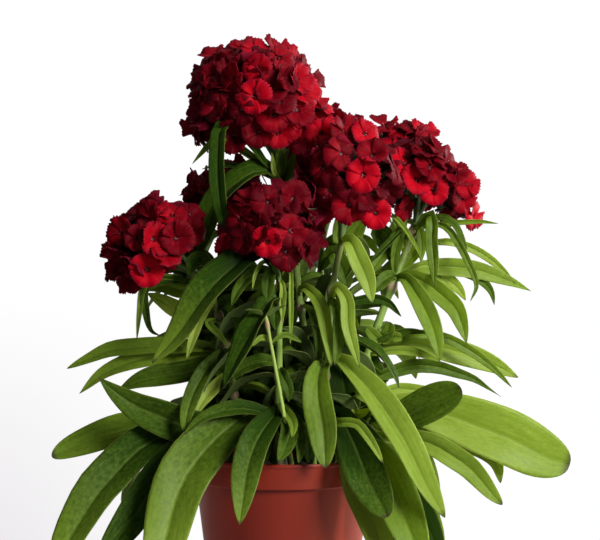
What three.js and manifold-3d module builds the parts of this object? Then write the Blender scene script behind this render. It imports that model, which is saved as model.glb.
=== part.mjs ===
// Potted sweet william: a plastic nursery pot filled with soil, flowering stems with opposite lance-shaped
// leaves, leafy shoots without flowers round them, and a domed head of toothed florets on each stem.
// Millimetres, +Z up, the front faces -Y, and the origin is the middle of the pot's base.
import * as THREE from "three";
import { mergeVertices } from "three/addons/utils/BufferGeometryUtils.js";
import Module from "manifold-3d";

const wasm = await Module();
wasm.setup();

// Driving dimensions of the pot and the soil
const POT_HEIGHT = 115;
const POT_RIM_RADIUS = 60;
const POT_BASE_RADIUS = 43;
const POT_WALL = 1.6;
const POT_FLOOR = 2.4;
const POT_SIDES = 28;
const BASE_CHAMFER = 1.5;
const LIP_HEIGHT = 2.6;
const COLLAR_HEIGHT = 15.5;
const COLLAR_STEP = 2.2;
const DRAIN_HOLES = 6;
const DRAIN_RADIUS = 4;
const DRAIN_CIRCLE = 27;
const SOIL_TOP = 105;
const SOIL_BUMP = 1.4;
const SOIL_SIDES = 18;
const HOLE_ALLOWANCE = 0.8;
const CLEARANCE = 0.4;

// Driving dimensions of the plant
const STEM_SIDES = 5;
const STEM_FOOT = 93;
const UPRIGHT = 3;
const JOINT_SWELL = 1.35;
const JOINT_REACH = 3.5;
const LEAF_THICKNESS = 1.3;
const LEAF_STATIONS = [0, 0.16, 0.4, 0.65, 0.87];
const SHORT_LEAF_STATIONS = [0, 0.22, 0.5, 0.8];
const SHORT_LEAF = 60;
const LEAF_ROOT = 1.4;
const BLADE_START = 0.03;
const BLADE_SWELL = 0.8;
const BLADE_TAPER = 0.8;
const FOLD_AT_ROOT = 38;
const FOLD_AT_TIP = 12;
const TWIST_AT_ROOT = 0.25;
const TWIST_RATE = 1.5;
const FLORET_RADIUS = 12.2;
const FLORET_NECK = 1.6;
const FLORET_DEPTH = 11;
const FLORET_WOBBLE = 0.3;
const FLORET_SPIN = 2.1;
const FLORET_LAYERS = [0.6, 2.6];
const PETALS = 5;
const PETAL_CORNER = 20;
const PETAL_NOTCH = 0.62;
const CORE_DEPTH = 8;
const CORE_FLOOR = 0.62;
const CORE_SIDES = 10;
const CORE_RINGS = 4;
const PEDICELS = 4;
const PEDICEL_SPREAD = 0.5;
const PEDICEL_RADII = [0.8, 1.3];

// Each leafy shoot is a route of points up its stem, the stem's radius at its foot and at its top, and its
// leaves as [height of the joint, compass turn (0 to the right, -90 to the front), reach of the tip, rise of
// the tip, bend of the blade in degrees, width, roll of the blade towards its tip in degrees, and, where the
// tip is blunt, how blunt].
const SHOOTS = [
  {
    "name": "flowering_stem_top",
    "route": [[20, 2, 93], [18, 0, 130], [17, -2, 170], [11, -4, 210], [7, -4, 248], [0, -2, 288]],
    "radius": [2.6, 1.9],
    "leaves": [
      [287, -151, 74, -51, 85, 18, -30],
      [287, -140, 50, -23, 165, 13, -5],
      [287, 170, 52, 10, 50, 9, -30],
      [287, 40, 40, 8, 60, 9, 20],
      [248, -80, 15, -50, 60, 10, 0],
      [248, 88, 40, -20, 90, 13, 0],
      [210, 165, 52, 8, 50, 14, -30],
      [210, -62, 20, -38, 100, 9, 0],
      [170, 100, 42, -12, 80, 16, 0],
      [170, -120, 34, -22, 80, 12, 0],
    ],
  },
  {
    "name": "flowering_stem_right",
    "route": [[34, -6, 93], [38, -6, 120], [54, -2, 178], [72, 8, 226], [80, 14, 245], [86, 18, 262]],
    "radius": [2.9, 2],
    "leaves": [
      [261, -35, 42, -52, 110, 8, 20],
      [261, -80, 28, -41, 100, 12, 0],
      [260, 2, 50, -6, 10, 6, 35],
      [261, 35, 74, -42, 60, 11, 30],
      [261, 110, 40, -10, 80, 10, 0],
      [226, 8, 88, -8, 62, 22, 38],
      [226, -58, 48, -50, 80, 20, 0],
      [226, -26, 50, -43, 80, 18, 15],
      [226, 50, 66, -16, 80, 15, 30],
      [226, 150, 40, -10, 70, 12, -20],
      [178, -7, 92, -21, 70, 17, 38],
      [178, 14, 100, -17, 76, 26, 38],
      [178, -24, 88, -27, 60, 16, 28],
      [178, 60, 70, -20, 70, 18, 0],
    ],
  },
  {
    "name": "flowering_stem_middle",
    "route": [[14, -20, 93], [20, -26, 130], [27, -28, 171], [30, -28, 213], [33, -27, 232], [37, -26, 250]],
    "radius": [2.7, 1.9],
    "leaves": [
      [249, -65, 34, -33, 100, 13, 0],
      [249, -35, 28, -30, 100, 14, 0],
      [249, 60, 36, -10, 70, 9, 0],
      [213, -54, 28, -44, 110, 14, 0],
      [213, 5, 46, -11, 60, 9, 30],
      [213, -130, 26, -34, 100, 10, 0],
      [171, -95, 36, -60, 95, 24, 0],
      [171, -38, 86, -87, 32, 32, 0],
    ],
  },
  {
    "name": "flowering_stem_front",
    "route": [[-4, -28, 93], [-3, -32, 130], [-2, -36, 175], [-2, -38, 213], [-2, -38, 226]],
    "radius": [2.6, 1.9],
    "leaves": [
      [225, -157, 84, -52, 62, 22, -25],
      [225, -60, 22, -24, 110, 9, 0],
      [207, -143, 40, -46, 80, 15, -10],
      [207, -90, 16, -32, 110, 9, 0],
      [172, -126, 36, -40, 90, 15, 0],
      [172, 172, 36, -16, 70, 14, -30],
    ],
  },
  {
    "name": "flowering_stem_left",
    "route": [[-24, -4, 93], [-28, -6, 130], [-34, -8, 172], [-42, -8, 208], [-50, -8, 224]],
    "radius": [2.6, 1.9],
    "leaves": [
      [223, -165, 42, -40, 110, 7, -20],
      [223, -140, 36, -36, 100, 8, -10],
      [223, 130, 44, -10, 80, 9, 0],
      [208, 175, 40, 2, 20, 12, -35],
      [208, -106, 28, -40, 90, 12, 0],
      [190, -130, 24, -56, 70, 13, 0],
      [190, 126, 40, -16, 80, 15, -10],
      [172, 178, 102, -4, 56, 20, -38],
      [172, -168, 94, -20, 52, 20, -42],
      [158, 176, 68, -8, 50, 18, -40],
    ],
  },
  {
    "name": "flowering_stem_back_left",
    "route": [[-14, 18, 93], [-22, 26, 170], [-32, 34, 225], [-38, 38, 256]],
    "radius": [2.5, 1.8],
    "leaves": [
      [255, 120, 44, -34, 100, 10, 0],
      [255, -166, 44, -20, 90, 10, -30],
      [225, 150, 70, -20, 85, 18, -20],
      [225, 70, 60, -24, 85, 16, 0],
      [180, 90, 74, -20, 80, 20, 0],
      [180, 164, 80, -10, 70, 20, -25],
    ],
  },
  {
    "name": "flowering_stem_back_right",
    "route": [[16, 16, 93], [22, 26, 170], [28, 36, 240], [36, 46, 280]],
    "radius": [2.5, 1.8],
    "leaves": [
      [279, 100, 44, -34, 100, 10, 0],
      [279, 10, 40, -20, 90, 10, 25],
      [232, 100, 72, -30, 90, 18, 0],
      [232, 40, 70, -20, 85, 17, 0],
      [185, 95, 80, -20, 80, 20, 0],
      [185, 30, 80, -14, 70, 20, 20],
    ],
  },
  {
    "name": "leafy_shoot_front_left",
    "route": [[-31, -20, 93], [-33, -20, 116], [-34, -20, 138]],
    "radius": [2.6, 2],
    "leaves": [
      [128, -158, 117, -87, 62, 31, -35],
      [128, -142, 88, -76, 66, 24, -25],
      [137, -122, 78, -92, 64, 35, -5],
      [137, -40, 30, 4, 50, 11, 0],
    ],
  },
  {
    "name": "leafy_shoot_left",
    "route": [[-45, -2, 93], [-46, -2, 112], [-48, -2, 129]],
    "radius": [2.6, 2],
    "leaves": [
      [128, -166, 69, 34, -20, 26, -62],
      [122, 174, 101, -11, 40, 24, -52, 0.6],
      [128, 140, 80, -6, 60, 20, -25],
      [120, 124, 80, -44, 70, 22, 0],
    ],
  },
  {
    "name": "leafy_shoot_front",
    "route": [[0, -42, 93], [0, -44, 112], [0, -44, 132]],
    "radius": [2.6, 2],
    "leaves": [
      [128, -112, 54, -43, 80, 23, 0],
      [132, -152, 58, 3, 50, 13, -30],
      [118, -86, 34, -14, 90, 14, 0],
      [132, 0, 20, 6, 40, 10, 0],
    ],
  },
  {
    "name": "leafy_shoot_front_right",
    "route": [[29, -34, 93], [31, -35, 116], [32, -35, 137]],
    "radius": [2.6, 2],
    "leaves": [
      [136, -60, 62, -47, 84, 26, 0],
      [136, -46, 48, -14, 60, 10, 20],
      [127, -72, 68, -71, 84, 24, 0],
      [127, -44, 76, -75, 76, 28, 15],
    ],
  },
  {
    "name": "leafy_shoot_right",
    "route": [[45, -8, 93], [47, -8, 112], [56, -8, 138]],
    "radius": [2.7, 2],
    "leaves": [
      [137, -2, 119, -27, 18, 40, 60, 0.42],
      [137, -46, 56, 18, -10, 26, 50, 0.6],
      [124, -20, 84, -38, 40, 20, 40],
      [124, 10, 84, -26, 50, 14, 35],
      [127, 34, 90, -58, 72, 22, 25],
    ],
  },
  {
    "name": "leafy_shoot_back_right",
    "route": [[35, 27, 93], [38, 30, 112], [42, 34, 134]],
    "radius": [2.6, 2],
    "leaves": [
      [134, 20, 90, -4, 56, 22, 25],
      [134, 75, 84, -10, 60, 22, 0],
      [133, 85, 20, 66, 30, 24, 0],
      [133, -95, 12, 58, 30, 21, 0],
      [127, 45, 96, -60, 74, 24, 0],
      [127, 96, 80, -66, 80, 20, 0],
    ],
  },
  {
    "name": "leafy_shoot_back",
    "route": [[0, 43, 93], [0, 46, 112], [0, 50, 134]],
    "radius": [2.6, 2],
    "leaves": [
      [134, 95, 84, -10, 60, 22, 0],
      [134, 55, 60, 20, 40, 16, 0],
      [133, 100, 18, 70, 30, 24, 0],
      [133, -90, 10, 60, 30, 22, 0],
      [127, 78, 90, -70, 80, 24, 0],
      [127, 112, 80, -62, 80, 20, 0],
    ],
  },
  {
    "name": "leafy_shoot_back_left",
    "route": [[-33, 27, 93], [-36, 30, 112], [-40, 34, 134]],
    "radius": [2.6, 2],
    "leaves": [
      [134, 120, 84, -8, 60, 22, 0],
      [133, 104, 18, 68, 30, 24, 0],
      [133, -85, 10, 44, 30, 21, 0],
      [134, 158, 84, 4, 50, 20, -25],
      [127, 142, 94, -60, 70, 24, -10],
      [127, 96, 76, -50, 84, 20, 0],
    ],
  },
  {
    "name": "young_shoot_front",
    "route": [[10, -46, 93], [6, -50, 140], [-10, -54, 205]],
    "radius": [1.5, 1],
    "leaves": [
      [204, -150, 13, 4, 40, 5, 0],
      [204, -20, 12, 7, 30, 5, 0],
    ],
  },
];

// Each flower head is carried by a shoot: its middle, the lean of its axis from upright (rightward and
// backward), its radius across and along that axis, the number of florets and how far they reach down the
// dome in degrees from its axis.
const HEADS = [
  {
    "name": "bloom_head_top", "shoot": "flowering_stem_top",
    "middle": [-19, 0, 341], "lean": [-0.25, 0.05], "across": 42, "along": 38, "florets": 28, "reach": 122,
  },
  {
    "name": "bloom_head_right", "shoot": "flowering_stem_right",
    "middle": [96, 25, 291], "lean": [0.5, 0.05], "across": 39, "along": 30, "florets": 22, "reach": 112,
  },
  {
    "name": "bloom_head_middle", "shoot": "flowering_stem_middle",
    "middle": [41, -23, 290], "lean": [0, -0.15], "across": 30, "along": 32, "florets": 17, "reach": 122,
  },
  {
    "name": "bloom_head_front", "shoot": "flowering_stem_front",
    "middle": [-5, -38, 254], "lean": [0, -0.15], "across": 30, "along": 29, "florets": 15, "reach": 114,
  },
  {
    "name": "bloom_head_left", "shoot": "flowering_stem_left",
    "middle": [-80, -8, 245], "lean": [-0.9, -0.1], "across": 34, "along": 34, "florets": 18, "reach": 105,
  },
  {
    "name": "bloom_head_back_left", "shoot": "flowering_stem_back_left",
    "middle": [-41, 40, 283], "lean": [-0.2, 0.1], "across": 25, "along": 25, "florets": 11, "reach": 108,
  },
  {
    "name": "bloom_head_back_right", "shoot": "flowering_stem_back_right",
    "middle": [28, 56, 309], "lean": [0.1, 0.2], "across": 29, "along": 29, "florets": 13, "reach": 110,
  },
];

const MATERIALS = {
  pot: new THREE.MeshStandardMaterial({ color: 0x9c3a2c, roughness: 0.42, metalness: 0 }),
  soil: new THREE.MeshStandardMaterial({ color: 0x2b211a, roughness: 0.95, metalness: 0 }),
  leaf: new THREE.MeshStandardMaterial({ color: 0x4f7a22, roughness: 0.5, metalness: 0 }),
  petal: new THREE.MeshStandardMaterial({ color: 0xa10d1c, roughness: 0.6, metalness: 0 }),
};

const point = (p) => new THREE.Vector3(...p);
const radians = THREE.MathUtils.degToRad;

// Numbers from 0 to 1 that are the same each run.
function seededRandom(seed) {
  let state = seed;
  return () => {
    state = (state * 16807) % 2147483647;
    return state / 2147483647;
  };
}

// A closed geometry as a solid, with its shared vertices merged.
function solidOf(geometry) {
  const bare = new THREE.BufferGeometry();
  bare.setAttribute("position", geometry.getAttribute("position"));
  bare.setIndex(geometry.index);
  const merged = mergeVertices(bare, 1e-4);
  return new wasm.Manifold(
    new wasm.Mesh({
      numProp: 3,
      vertProperties: new Float32Array(merged.attributes.position.array),
      triVerts: new Uint32Array(merged.index.array),
    }),
  );
}

// A geometry from points and the triangles between them.
function geometryOf(points, triangles) {
  const geometry = new THREE.BufferGeometry();
  geometry.setAttribute("position", new THREE.Float32BufferAttribute(points.flatMap((p) => p.toArray()), 3));
  geometry.setIndex(triangles.flat());
  return geometry;
}

// A solid as a named mesh.
function meshOf(name, solid, material) {
  const { numProp, numVert, vertProperties, triVerts } = solid.getMesh();
  const positions = new Float32Array(numVert * 3);
  for (let i = 0; i < numVert; i++) {
    positions.set(vertProperties.subarray(i * numProp, i * numProp + 3), i * 3);
  }
  const geometry = new THREE.BufferGeometry();
  geometry.setAttribute("position", new THREE.BufferAttribute(positions, 3));
  geometry.setIndex(new THREE.BufferAttribute(triVerts, 1));
  geometry.computeVertexNormals();
  const mesh = new THREE.Mesh(geometry, material);
  mesh.name = name;
  return mesh;
}

const joined = (solids) => solids.reduce((whole, next) => whole.add(next));

// A closed skin over rings of equal length, each one anticlockwise round the way the rings run. A thin
// blade ends in a tip, and both its faces are split along the same diagonals, so that they stay apart.
function skin(rings, tip) {
  const sides = rings[0].length;
  const triangles = [];
  for (let i = 0; i + 1 < rings.length; i++) {
    for (let k = 0; k < sides; k++) {
      const next = (k + 1) % sides;
      const [a, b] = [i * sides + k, i * sides + next];
      const [d, c] = [a + sides, b + sides];
      triangles.push(...(tip && k % 2 ? [[a, b, d], [b, c, d]] : [[a, b, c], [a, c, d]]));
    }
  }
  const last = (rings.length - 1) * sides;
  for (let k = 1; k + 1 < sides; k++) {
    triangles.push([0, k + 1, k]);
    if (!tip) triangles.push([last, last + k, last + k + 1]);
  }
  if (!tip) return geometryOf(rings.flat(), triangles);
  for (let k = 0; k < sides; k++) {
    triangles.push([last + k, last + ((k + 1) % sides), last + sides]);
  }
  return geometryOf([...rings.flat(), tip], triangles);
}

// A body of revolution about Z through [radius, height] points that start and end on the axis.
function turned(profile, sides) {
  const geometry = new THREE.LatheGeometry(profile.map(([r, z]) => new THREE.Vector2(r, z)), sides);
  return geometry.rotateX(Math.PI / 2);
}

// An upright round peg, used as a cutter for holes.
function peg(radius, bottom, top, x, y, sides) {
  const geometry = new THREE.CylinderGeometry(radius, radius, top - bottom, sides);
  return solidOf(geometry.rotateX(Math.PI / 2).translate(x, y, (top + bottom) / 2));
}

// The pot's outer radius at a height, below its collar.
const wallRadius = (z) => THREE.MathUtils.lerp(POT_BASE_RADIUS, POT_RIM_RADIUS - COLLAR_STEP, z / POT_HEIGHT);

function potSolid() {
  const collar = POT_HEIGHT - COLLAR_HEIGHT;
  const inner = (z) => wallRadius(z) - POT_WALL;
  const profile = [
    [0, 0],
    [POT_BASE_RADIUS - BASE_CHAMFER, 0],
    [wallRadius(BASE_CHAMFER), BASE_CHAMFER],
    [wallRadius(collar - 1), collar - 1],
    [POT_RIM_RADIUS - 0.6, collar],
    [POT_RIM_RADIUS - 0.6, POT_HEIGHT - LIP_HEIGHT],
    [POT_RIM_RADIUS, POT_HEIGHT - LIP_HEIGHT + 0.5],
    [POT_RIM_RADIUS - 0.3, POT_HEIGHT - 0.3],
    [POT_RIM_RADIUS - 1.6, POT_HEIGHT],
    [inner(collar) + COLLAR_STEP / 2, collar + 1.5],
    [inner(collar), collar],
    [inner(POT_FLOOR), POT_FLOOR],
    [0, POT_FLOOR],
  ];
  let pot = solidOf(turned(profile, POT_SIDES));
  for (let i = 0; i < DRAIN_HOLES; i++) {
    const turn = (i / DRAIN_HOLES) * 2 * Math.PI;
    const [x, y] = [Math.cos(turn) * DRAIN_CIRCLE, Math.sin(turn) * DRAIN_CIRCLE];
    pot = pot.subtract(peg(DRAIN_RADIUS, -1, POT_FLOOR + 1, x, y, 8));
  }
  return pot;
}

// The soil fills the pot to below its rim, with a lumpy top and a plain hole for each stem.
function soilSolid() {
  const fill = (z) => wallRadius(z) - POT_WALL - CLEARANCE;
  const bottom = POT_FLOOR + CLEARANCE;
  const under = POT_HEIGHT - COLLAR_HEIGHT - 1;
  const profile = [[0, bottom], [fill(bottom), bottom], [fill(under), under], [fill(under), SOIL_TOP - 3]];
  [0.78, 0.4].forEach((share) => profile.push([fill(under) * share, SOIL_TOP]));
  profile.push([0, SOIL_TOP]);
  const geometry = turned(profile, SOIL_SIDES);
  const position = geometry.getAttribute("position");
  for (let i = 0; i < position.count; i++) {
    const [x, y, z] = [position.getX(i), position.getY(i), position.getZ(i)];
    const lump = SOIL_BUMP * Math.sin(0.31 * x + 1) * Math.cos(0.27 * y - 0.6);
    if (z > SOIL_TOP - 1) position.setZ(i, z + lump);
  }
  const holes = SHOOTS.map((shoot) => {
    const [x, y] = centreLine(shoot)(STEM_FOOT).toArray();
    const radius = shoot.radius[0] + HOLE_ALLOWANCE + CLEARANCE;
    return peg(radius, STEM_FOOT - CLEARANCE, SOIL_TOP + 6, x, y, 6);
  });
  return holes.reduce((soil, hole) => soil.subtract(hole), solidOf(geometry));
}

// The stem's centre line, found by height. It stands upright where it goes into the soil.
function centreLine(shoot) {
  const curve = new THREE.CatmullRomCurve3(shoot.route.map(point), false, "centripetal");
  const steps = 60;
  const line = curve.getPoints(steps);
  return (z) => {
    const bent = Math.max(z, SOIL_TOP + UPRIGHT);
    const above = Math.max(1, line.findIndex((p) => p.z >= bent - 1e-6));
    const [low, high] = [line[above - 1], line[above]];
    const share = THREE.MathUtils.clamp((bent - low.z) / (high.z - low.z), 0, 1);
    return low.clone().lerp(high, share).setZ(z);
  };
}

// A stem that tapers to its top and swells at each joint that carries leaves.
function stemSolid(shoot) {
  const at = centreLine(shoot);
  const [foot, top] = [shoot.route[0][2], shoot.route.at(-1)[2]];
  const joints = [...new Set(shoot.leaves.map(([height]) => height))];
  const swells = joints.flatMap((z) => [z - JOINT_REACH, z, z + JOINT_REACH]);
  const heights = [...shoot.route.map((p) => p[2]), SOIL_TOP + UPRIGHT, ...swells];
  const levels = heights.filter((z) => z <= top).sort((a, b) => a - b);
  const spaced = levels.filter((z, i) => i === 0 || z - levels[i - 1] > 0.8);
  const rings = spaced.map((z) => {
    const share = (z - foot) / (top - foot);
    const swell = joints.some((joint) => Math.abs(joint - z) < 1) ? JOINT_SWELL : 1;
    const radius = THREE.MathUtils.lerp(...shoot.radius, share) * swell;
    const along = at(Math.min(z + 2, top)).sub(at(Math.max(z - 2, foot))).normalize();
    const side = new THREE.Vector3(0, 1, 0).cross(along).normalize();
    const front = along.clone().cross(side);
    return Array.from({ length: STEM_SIDES }, (_, k) => {
      const turn = (k / STEM_SIDES) * 2 * Math.PI;
      const [x, y] = [radius * Math.cos(turn), radius * Math.sin(turn)];
      return at(z).addScaledVector(side, x).addScaledVector(front, y);
    });
  });
  return solidOf(skin(rings));
}

// The width of a lance-shaped blade along its length, as a share of its widest.
function bladeWidth(t, tip) {
  const widest = (BLADE_SWELL - BLADE_START * tip) / (BLADE_SWELL + tip);
  const shape = (at) => Math.pow(at + BLADE_START, BLADE_SWELL) * Math.pow(1 - at, tip);
  return shape(t) / shape(widest);
}

// One arched blade: its midrib is an arc in an upright plane, its two halves fold up from the midrib, and it
// twists about the midrib on its way out. It starts just inside the joint.
function leafSolid(centre, [, turn, reach, rise, bend, width, roll, tip = BLADE_TAPER]) {
  const chord = Math.hypot(reach, rise);
  const slope = Math.atan2(rise, reach);
  const arc = radians(bend);
  const arcRadius = chord / (2 * Math.sin(arc / 2));
  const ahead = new THREE.Vector3(Math.cos(radians(turn)), Math.sin(radians(turn)), 0);
  const up = new THREE.Vector3(0, 0, 1);
  const level = ahead.clone().cross(up);
  const root = centre.clone().addScaledVector(ahead, LEAF_ROOT);
  const start = slope + arc / 2;
  const along = (t) => {
    const angle = start - arc * t;
    const out = arcRadius * (Math.sin(start) - Math.sin(angle));
    const lift = arcRadius * (Math.cos(angle) - Math.cos(start));
    return { angle, rib: root.clone().addScaledVector(ahead, out).addScaledVector(up, lift) };
  };
  const stations = chord < SHORT_LEAF ? SHORT_LEAF_STATIONS : LEAF_STATIONS;
  const rings = stations.map((t) => {
    const { angle, rib } = along(t);
    const forward = ahead.clone().multiplyScalar(Math.cos(angle)).addScaledVector(up, Math.sin(angle));
    const twist = roll * Math.min(1, TWIST_AT_ROOT + TWIST_RATE * t);
    const side = level.clone().applyAxisAngle(forward, radians(twist));
    const face = side.clone().cross(forward);
    const half = (width / 2) * bladeWidth(t, tip);
    const fold = radians(THREE.MathUtils.lerp(FOLD_AT_ROOT, FOLD_AT_TIP, t));
    const spread = half * Math.cos(fold);
    const raise = half * Math.sin(fold);
    return [
      rib.clone().addScaledVector(face, LEAF_THICKNESS / 2),
      rib.clone().addScaledVector(side, spread).addScaledVector(face, raise),
      rib.clone().addScaledVector(face, -LEAF_THICKNESS / 2),
      rib.clone().addScaledVector(side, -spread).addScaledVector(face, raise),
    ];
  });
  return solidOf(skin(rings, along(1).rib));
}

// The frame of a head: the top of its stem, its middle, its axis and the two directions across it.
function headFrame(head) {
  const shoot = SHOOTS.find(({ name }) => name === head.shoot);
  const foot = point(shoot.route.at(-1));
  const middle = point(head.middle);
  const axis = new THREE.Vector3(...head.lean, 1).normalize();
  const side = new THREE.Vector3(0, 1, 0).cross(axis).normalize();
  const front = axis.clone().cross(side);
  const place = (x, y, z) =>
    middle.clone().addScaledVector(side, x).addScaledVector(front, y).addScaledVector(axis, z);
  return { foot, middle, axis, side, front, place };
}

// The florets' own small core: a dome, flat underneath, which the pedicels come up to.
const coreRadii = (head) => [head.across - CORE_DEPTH, head.along - CORE_DEPTH];
const coreFloor = (head) => -CORE_FLOOR * (head.along - CORE_DEPTH);

function coreSolid(head) {
  const { middle, axis } = headFrame(head);
  const [across, along] = coreRadii(head);
  const floor = coreFloor(head);
  const lowest = Math.asin(floor / along);
  const profile = [[0, floor]];
  for (let i = 0; i < CORE_RINGS; i++) {
    const angle = THREE.MathUtils.lerp(lowest, Math.PI / 2, i / CORE_RINGS);
    profile.push([across * Math.cos(angle), along * Math.sin(angle)]);
  }
  profile.push([0, along]);
  const geometry = turned(profile, CORE_SIDES);
  const upright = new THREE.Quaternion().setFromUnitVectors(new THREE.Vector3(0, 0, 1), axis);
  return solidOf(geometry.applyQuaternion(upright).translate(...middle.toArray()));
}

// The pedicels branch from the stem's top and end just under the core. They belong to the stem.
function pedicelSolids(head) {
  const { foot, side, front, place } = headFrame(head);
  const [across] = coreRadii(head);
  const height = coreFloor(head) - CLEARANCE;
  const ends = [place(0, 0, height)];
  for (let i = 0; i < PEDICELS; i++) {
    const turn = ((i + 0.3) / PEDICELS) * 2 * Math.PI;
    const out = across * PEDICEL_SPREAD;
    ends.push(place(out * Math.cos(turn), out * Math.sin(turn), height));
  }
  const [thin, thick] = PEDICEL_RADII;
  const ring = (centre, radius) =>
    [0, 1, 2].map((k) => {
      const turn = (k / 3) * 2 * Math.PI;
      return centre
        .clone()
        .addScaledVector(side, radius * Math.cos(turn))
        .addScaledVector(front, radius * Math.sin(turn));
    });
  return ends.map((end) => solidOf(skin([ring(foot.clone().lerp(end, -0.06), thin), ring(end, thick)])));
}

// One floret: five wedge-shaped petals with a notch between each two, spread from a throat, on a tapering
// tube that sinks into the core. Its rim has three points a petal: the notch and the petal's two corners.
function floretSolid(centre, normal, spin) {
  const side = (Math.abs(normal.z) > 0.9 ? new THREE.Vector3(1, 0, 0) : new THREE.Vector3(0, 0, 1))
    .cross(normal)
    .normalize();
  const front = normal.clone().cross(side);
  const at = (turn, out, lift) =>
    centre
      .clone()
      .addScaledVector(side, out * Math.cos(turn))
      .addScaledVector(front, out * Math.sin(turn))
      .addScaledVector(normal, lift);
  const rim = [];
  for (let petal = 0; petal < PETALS; petal++) {
    const middle = spin + (petal / PETALS) * 2 * Math.PI;
    rim.push(at(middle - Math.PI / PETALS, FLORET_RADIUS * PETAL_NOTCH, 0));
    rim.push(at(middle - radians(PETAL_CORNER), FLORET_RADIUS * 0.98, 1.4));
    rim.push(at(middle + radians(PETAL_CORNER), FLORET_RADIUS, 0.8));
  }
  const neck = [0, 1, 2].map((k) => at(spin + (k / 3) * 2 * Math.PI, FLORET_NECK, -2.4));
  const points = [at(0, 0, -0.9), ...rim, ...neck, at(0, 0, -FLORET_DEPTH)];
  const [firstRim, firstNeck, foot] = [1, rim.length + 1, rim.length + 4];
  const share = rim.length / 3;
  const triangles = [];
  for (let i = 0; i < rim.length; i++) {
    const [here, next] = [firstRim + i, firstRim + ((i + 1) % rim.length)];
    const corner = firstNeck + Math.floor(i / share);
    triangles.push([0, here, next], [here, corner, next]);
    if (i % share < share - 1) continue;
    const nextCorner = firstNeck + ((Math.floor(i / share) + 1) % 3);
    triangles.push([next, corner, nextCorner], [corner, foot, nextCorner]);
  }
  return solidOf(geometryOf(points, triangles));
}

// The florets wind round the dome from its top in equal shares of its surface, a golden turn apart.
function floretSolids(head) {
  const { place, middle } = headFrame(head);
  const golden = Math.PI * (3 - Math.sqrt(5));
  const lowest = Math.cos(radians(head.reach));
  const random = seededRandom(head.florets * 31 + head.across);
  const wobble = () => (random() - 0.5) * FLORET_WOBBLE;
  return Array.from({ length: head.florets }, (_, i) => {
    const height = THREE.MathUtils.lerp(1, lowest, (i + 0.4) / head.florets);
    const out = Math.sqrt(1 - height * height);
    const turn = i * golden;
    const layer = FLORET_LAYERS[i % 2];
    const [across, along] = [head.across - layer, head.along - layer];
    const centre = place(across * out * Math.cos(turn), across * out * Math.sin(turn), along * height);
    const outward = centre.clone().sub(middle).normalize();
    const facing = outward.add(new THREE.Vector3(wobble(), wobble(), wobble())).normalize();
    return floretSolid(centre, facing, i * FLORET_SPIN);
  });
}

const group = new THREE.Group();
group.add(meshOf("pot", potSolid(), MATERIALS.pot));
group.add(meshOf("soil", soilSolid(), MATERIALS.soil));
for (const shoot of SHOOTS) {
  const at = centreLine(shoot);
  const leaves = shoot.leaves.map((leaf) => leafSolid(at(leaf[0]), leaf));
  const pedicels = HEADS.filter((head) => head.shoot === shoot.name).flatMap(pedicelSolids);
  group.add(meshOf(shoot.name, joined([stemSolid(shoot), ...leaves, ...pedicels]), MATERIALS.leaf));
}
for (const head of HEADS) {
  group.add(meshOf(head.name, joined([coreSolid(head), ...floretSolids(head)]), MATERIALS.petal));
}

export default group;
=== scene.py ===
# %% [markdown]
# # A potted sweet william
#
# Sweet william is a bushy bedding flower. Each stem has swollen joints, a pair of lance-shaped leaves at each
# joint, and a crowded dome of dark red florets at its top. This one stands in a red-brown nursery pot.
#
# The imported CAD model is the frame: it has the sizes and the main shapes as plain faceted solids. Each leafy
# stem, each flower head, the soil and the pot is made here once more with fine surfaces, in the same place.
# Lengths of the plant and the pot are in millimetres, and are turned into Blender's metres where a mesh is
# made.

# %% The frame
import math

import bpy
import numpy as np
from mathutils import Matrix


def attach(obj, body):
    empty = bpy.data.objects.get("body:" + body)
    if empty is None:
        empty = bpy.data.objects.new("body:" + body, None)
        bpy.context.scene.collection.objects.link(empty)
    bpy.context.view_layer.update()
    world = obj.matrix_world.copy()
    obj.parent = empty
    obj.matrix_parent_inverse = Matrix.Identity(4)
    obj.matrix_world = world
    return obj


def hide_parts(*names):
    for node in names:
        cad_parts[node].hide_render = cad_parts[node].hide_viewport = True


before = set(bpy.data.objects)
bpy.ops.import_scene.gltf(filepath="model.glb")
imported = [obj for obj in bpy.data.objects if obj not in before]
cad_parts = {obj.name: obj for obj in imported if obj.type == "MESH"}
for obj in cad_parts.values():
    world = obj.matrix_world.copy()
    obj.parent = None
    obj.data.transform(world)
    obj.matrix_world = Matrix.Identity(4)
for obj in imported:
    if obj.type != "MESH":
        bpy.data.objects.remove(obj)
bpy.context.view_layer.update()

print("the frame has", len(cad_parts), "nodes")

# %% [markdown]
# ## Camera
#
# The photograph was taken level, from about a metre away, with the lens a little above the middle of the
# plant. A 90 mm lens on a 36 mm sensor gives its gentle perspective. Its place was worked out from the rim of
# the pot, whose width gives the distance and whose flatness gives the height. Places are measured from the
# middle of the pot's base, and the front of the plant faces -Y.

# %% The camera
MM = 0.001
CAMERA_PLACE = (10.9, -960, 232)

camera_data = bpy.data.cameras.new("camera")
camera_data.lens = 90
camera_data.sensor_width = 36
camera_data.clip_start = 0.02
camera = bpy.data.objects.new("camera", camera_data)
camera.location = [value * MM for value in CAMERA_PLACE]
camera.rotation_euler = (math.radians(90), 0, 0)
bpy.context.scene.collection.objects.link(camera)
bpy.context.scene.camera = camera
bpy.context.scene.view_settings.view_transform = "Standard"
print("the camera looks along +Y from", CAMERA_PLACE)

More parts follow.
